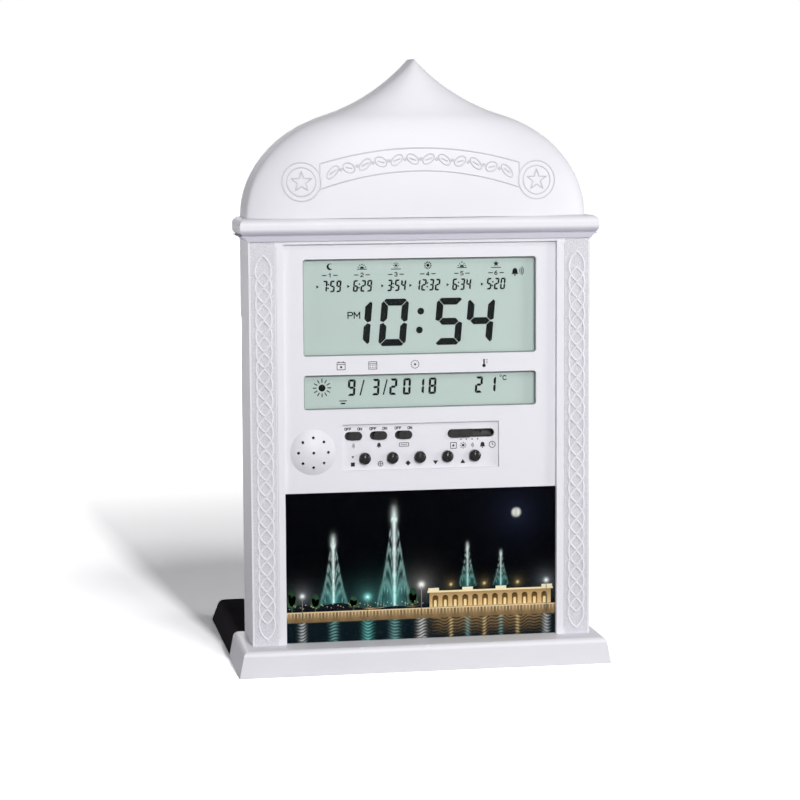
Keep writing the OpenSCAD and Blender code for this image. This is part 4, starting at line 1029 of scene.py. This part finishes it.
def makeNightPaint():
    # the colours stored on the mesh, broken a little by the grain
    m = bpy.data.materials.new("nightPaint")
    m.use_nodes = True
    t = m.node_tree
    bsdf = t.nodes["Principled BSDF"]
    paint = t.nodes.new("ShaderNodeAttribute")
    paint.attribute_name = nightInk["layer"]
    grain = grainNode(t, nightInk["grain"], nightInk["tint"])[1]
    ink = t.nodes.new("ShaderNodeMix")
    ink.data_type, ink.blend_type = "RGBA", "MULTIPLY"
    ink.inputs["Factor"].default_value = nightInk["mottle"]
    t.links.new(paint.outputs["Color"], ink.inputs["A"])
    t.links.new(grain.outputs["Tint"], ink.inputs["B"])
    t.links.new(ink.outputs["Result"], bsdf.inputs["Base Color"])
    bsdf.inputs["Roughness"].default_value = nightInk["rough"]
    bsdf.inputs["Specular IOR Level"].default_value = 0.0
    return m


def paintPoints(obj, colours):
    layer = obj.data.attributes.new(nightInk["layer"], "FLOAT_COLOR", "POINT")
    full = np.ones((len(colours), 4), np.float32)
    full[:, :3] = colours
    layer.data.foreach_set("color", full.ravel())


def makeNightCard():
    n = night
    bpy.ops.object.select_all(action="DESELECT")
    bpy.ops.mesh.primitive_grid_add(x_subdivisions=n["across"], y_subdivisions=n["up"], size=1)
    card = bpy.context.object
    card.name = "nightPicture"
    co = np.zeros(len(card.data.vertices) * 3)
    card.data.vertices.foreach_get("co", co)
    co = co.reshape(-1, 3)
    u, v = co[:, 0] + 0.5, co[:, 1] + 0.5
    placed = np.stack([(2 * u - 1) * n["x"] * mm, np.full(len(u), n["front"] * mm),
                       (n["z0"] + v * (n["z1"] - n["z0"])) * mm], axis=1)
    card.data.vertices.foreach_set("co", placed.ravel())
    paintPoints(card, nightColours(u, v))
    # the card's thickness: its rim drawn back and closed with one face
    pickOnly(card)
    bpy.ops.object.mode_set(mode="EDIT")
    bpy.ops.mesh.select_all(action="DESELECT")
    bpy.ops.mesh.select_mode(type="EDGE")
    bpy.ops.mesh.select_non_manifold()
    bpy.ops.mesh.extrude_region_move(TRANSFORM_OT_translate={"value": (0, (n["back"] - n["front"]) * mm, 0)})
    bpy.ops.mesh.edge_face_add()
    bpy.ops.mesh.select_all(action="SELECT")
    bpy.ops.mesh.normals_make_consistent(inside=False)
    bpy.ops.mesh.select_mode(type="VERT")
    bpy.ops.object.mode_set(mode="OBJECT")
    return card


mats["nightPaint"] = makeNightPaint()
nightCard = settle(makeNightCard(), mats["nightPaint"], "case")
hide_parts("picture_print")


def cardPlace(u, v):
    return (2 * u - 1) * night["x"], night["z0"] + v * (night["z1"] - night["z0"])


def cardPlates(name, outlines, layer, low, high):
    # crisp flat shapes printed on the card, shaded from the colour low at the foot to high at the top
    flat = [[cardPlace(u, v) for u, v in outline] for outline in outlines]
    y = night["front"] - 0.012 * layer
    obj = platesFrom(name, flat, y - 0.006, y + 0.002)
    zs = np.array([v.co.z for v in obj.data.vertices])
    share = (zs - zs.min()) / max(np.ptp(zs), 1e-9)
    paintPoints(obj, np.array(low) + share[:, None] * (np.array(high) - np.array(low)))
    return settle(obj, mats["nightPaint"], "case")


def archOpening(u, v, w, h):
    side = [(u - w / 2, v), (u + w / 2, v)]
    head = [(u + w / 2 * math.cos(a), v + h - w * 0.9 + w * 0.9 * math.sin(a))
            for a in (math.pi * i / 10 for i in range(11))]
    return side + head


def oval(u, v, ru, rv, n=22):
    return [(u + ru * math.cos(a), v + rv * math.sin(a)) for a in (2 * math.pi * i / n for i in range(n))]


hills = [(0, 0.20)] + [(i / 40, 0.232 + 0.022 * math.sin(i * 0.31) + 0.012 * math.sin(i * 0.83 + 1))
                       for i in range(41)] + [(1, 0.20)]
cardPlates("nightHills", [hills], 1, (0.006, 0.009, 0.012), (0.008, 0.011, 0.018))
townLights = []
for i in range(40):
    u, v = 0.012 + 0.0125 * i + 0.004 * math.sin(i * 2.3), 0.224 + 0.008 * (i * 7 % 4)
    townLights.append(box(u, v, u + 0.0028, v + 0.0048))
cardPlates("nightTown", townLights, 2, (0.90, 0.56, 0.20), (0.98, 0.84, 0.55))
cardPlates("nightArcade", [box(0.530, 0.205, 0.985, 0.305)], 3, (0.86, 0.60, 0.27), (0.40, 0.25, 0.11))
blocks = [box(u - 0.020, 0.315, u + 0.020, 0.334) for u in (0.545, 0.672, 0.797, 0.970)]
cardPlates("nightCornice", [box(0.522, 0.303, 0.993, 0.315)] + blocks, 4,
           (0.95, 0.78, 0.45), (0.99, 0.90, 0.66))
archCentres = [0.5515 + 0.0372 * i for i in range(12)]
cardPlates("nightArches", [archOpening(u, 0.207, 0.022, 0.078) for u in archCentres], 5,
           (0.34, 0.17, 0.05), (0.06, 0.035, 0.020))
cardPlates("nightDoors", [archOpening(u, 0.207, 0.010, 0.046) for u in archCentres], 6,
           (1.0, 0.86, 0.52), (0.95, 0.66, 0.26))
railing = [box(0, 0.195, 1, 0.203)]
railing += [box(0.003 + 0.0125 * i, 0.152, 0.0075 + 0.0125 * i, 0.195) for i in range(80)]
cardPlates("nightRail", railing, 7, (0.24, 0.15, 0.07), (0.86, 0.66, 0.40))
# the wide glows are lamps on posts
lampPlaces = [glow[:2] for glow in night["glows"] if glow[2] > 0.03]
cardPlates("nightPosts", [box(u - 0.0014, 0.15, u + 0.0014, v - 0.006) for u, v in lampPlaces], 8,
           (0.05, 0.05, 0.055), (0.36, 0.36, 0.34))
cardPlates("nightLamps", [oval(u, v, 0.0048, 0.0088, 14) for u, v in lampPlaces], 9,
           (0.96, 0.98, 0.95), (1.0, 1.0, 1.0))
trees = []
for u, h in ((0.022, 0.10), (0.108, 0.075), (0.248, 0.06), (0.468, 0.085)):
    trees += [oval(u, 0.205 + h, 0.014, h * 0.62), oval(u - 0.008, 0.205 + h * 0.75, 0.010, h * 0.45),
              oval(u + 0.009, 0.205 + h * 0.70, 0.010, h * 0.42),
              box(u - 0.0018, 0.20, u + 0.0018, 0.205 + h * 0.6)]
cardPlates("nightTrees", trees, 1.5, (0.060, 0.150, 0.070), (0.008, 0.022, 0.014))
print("night picture ready")


print("all pieces ready")
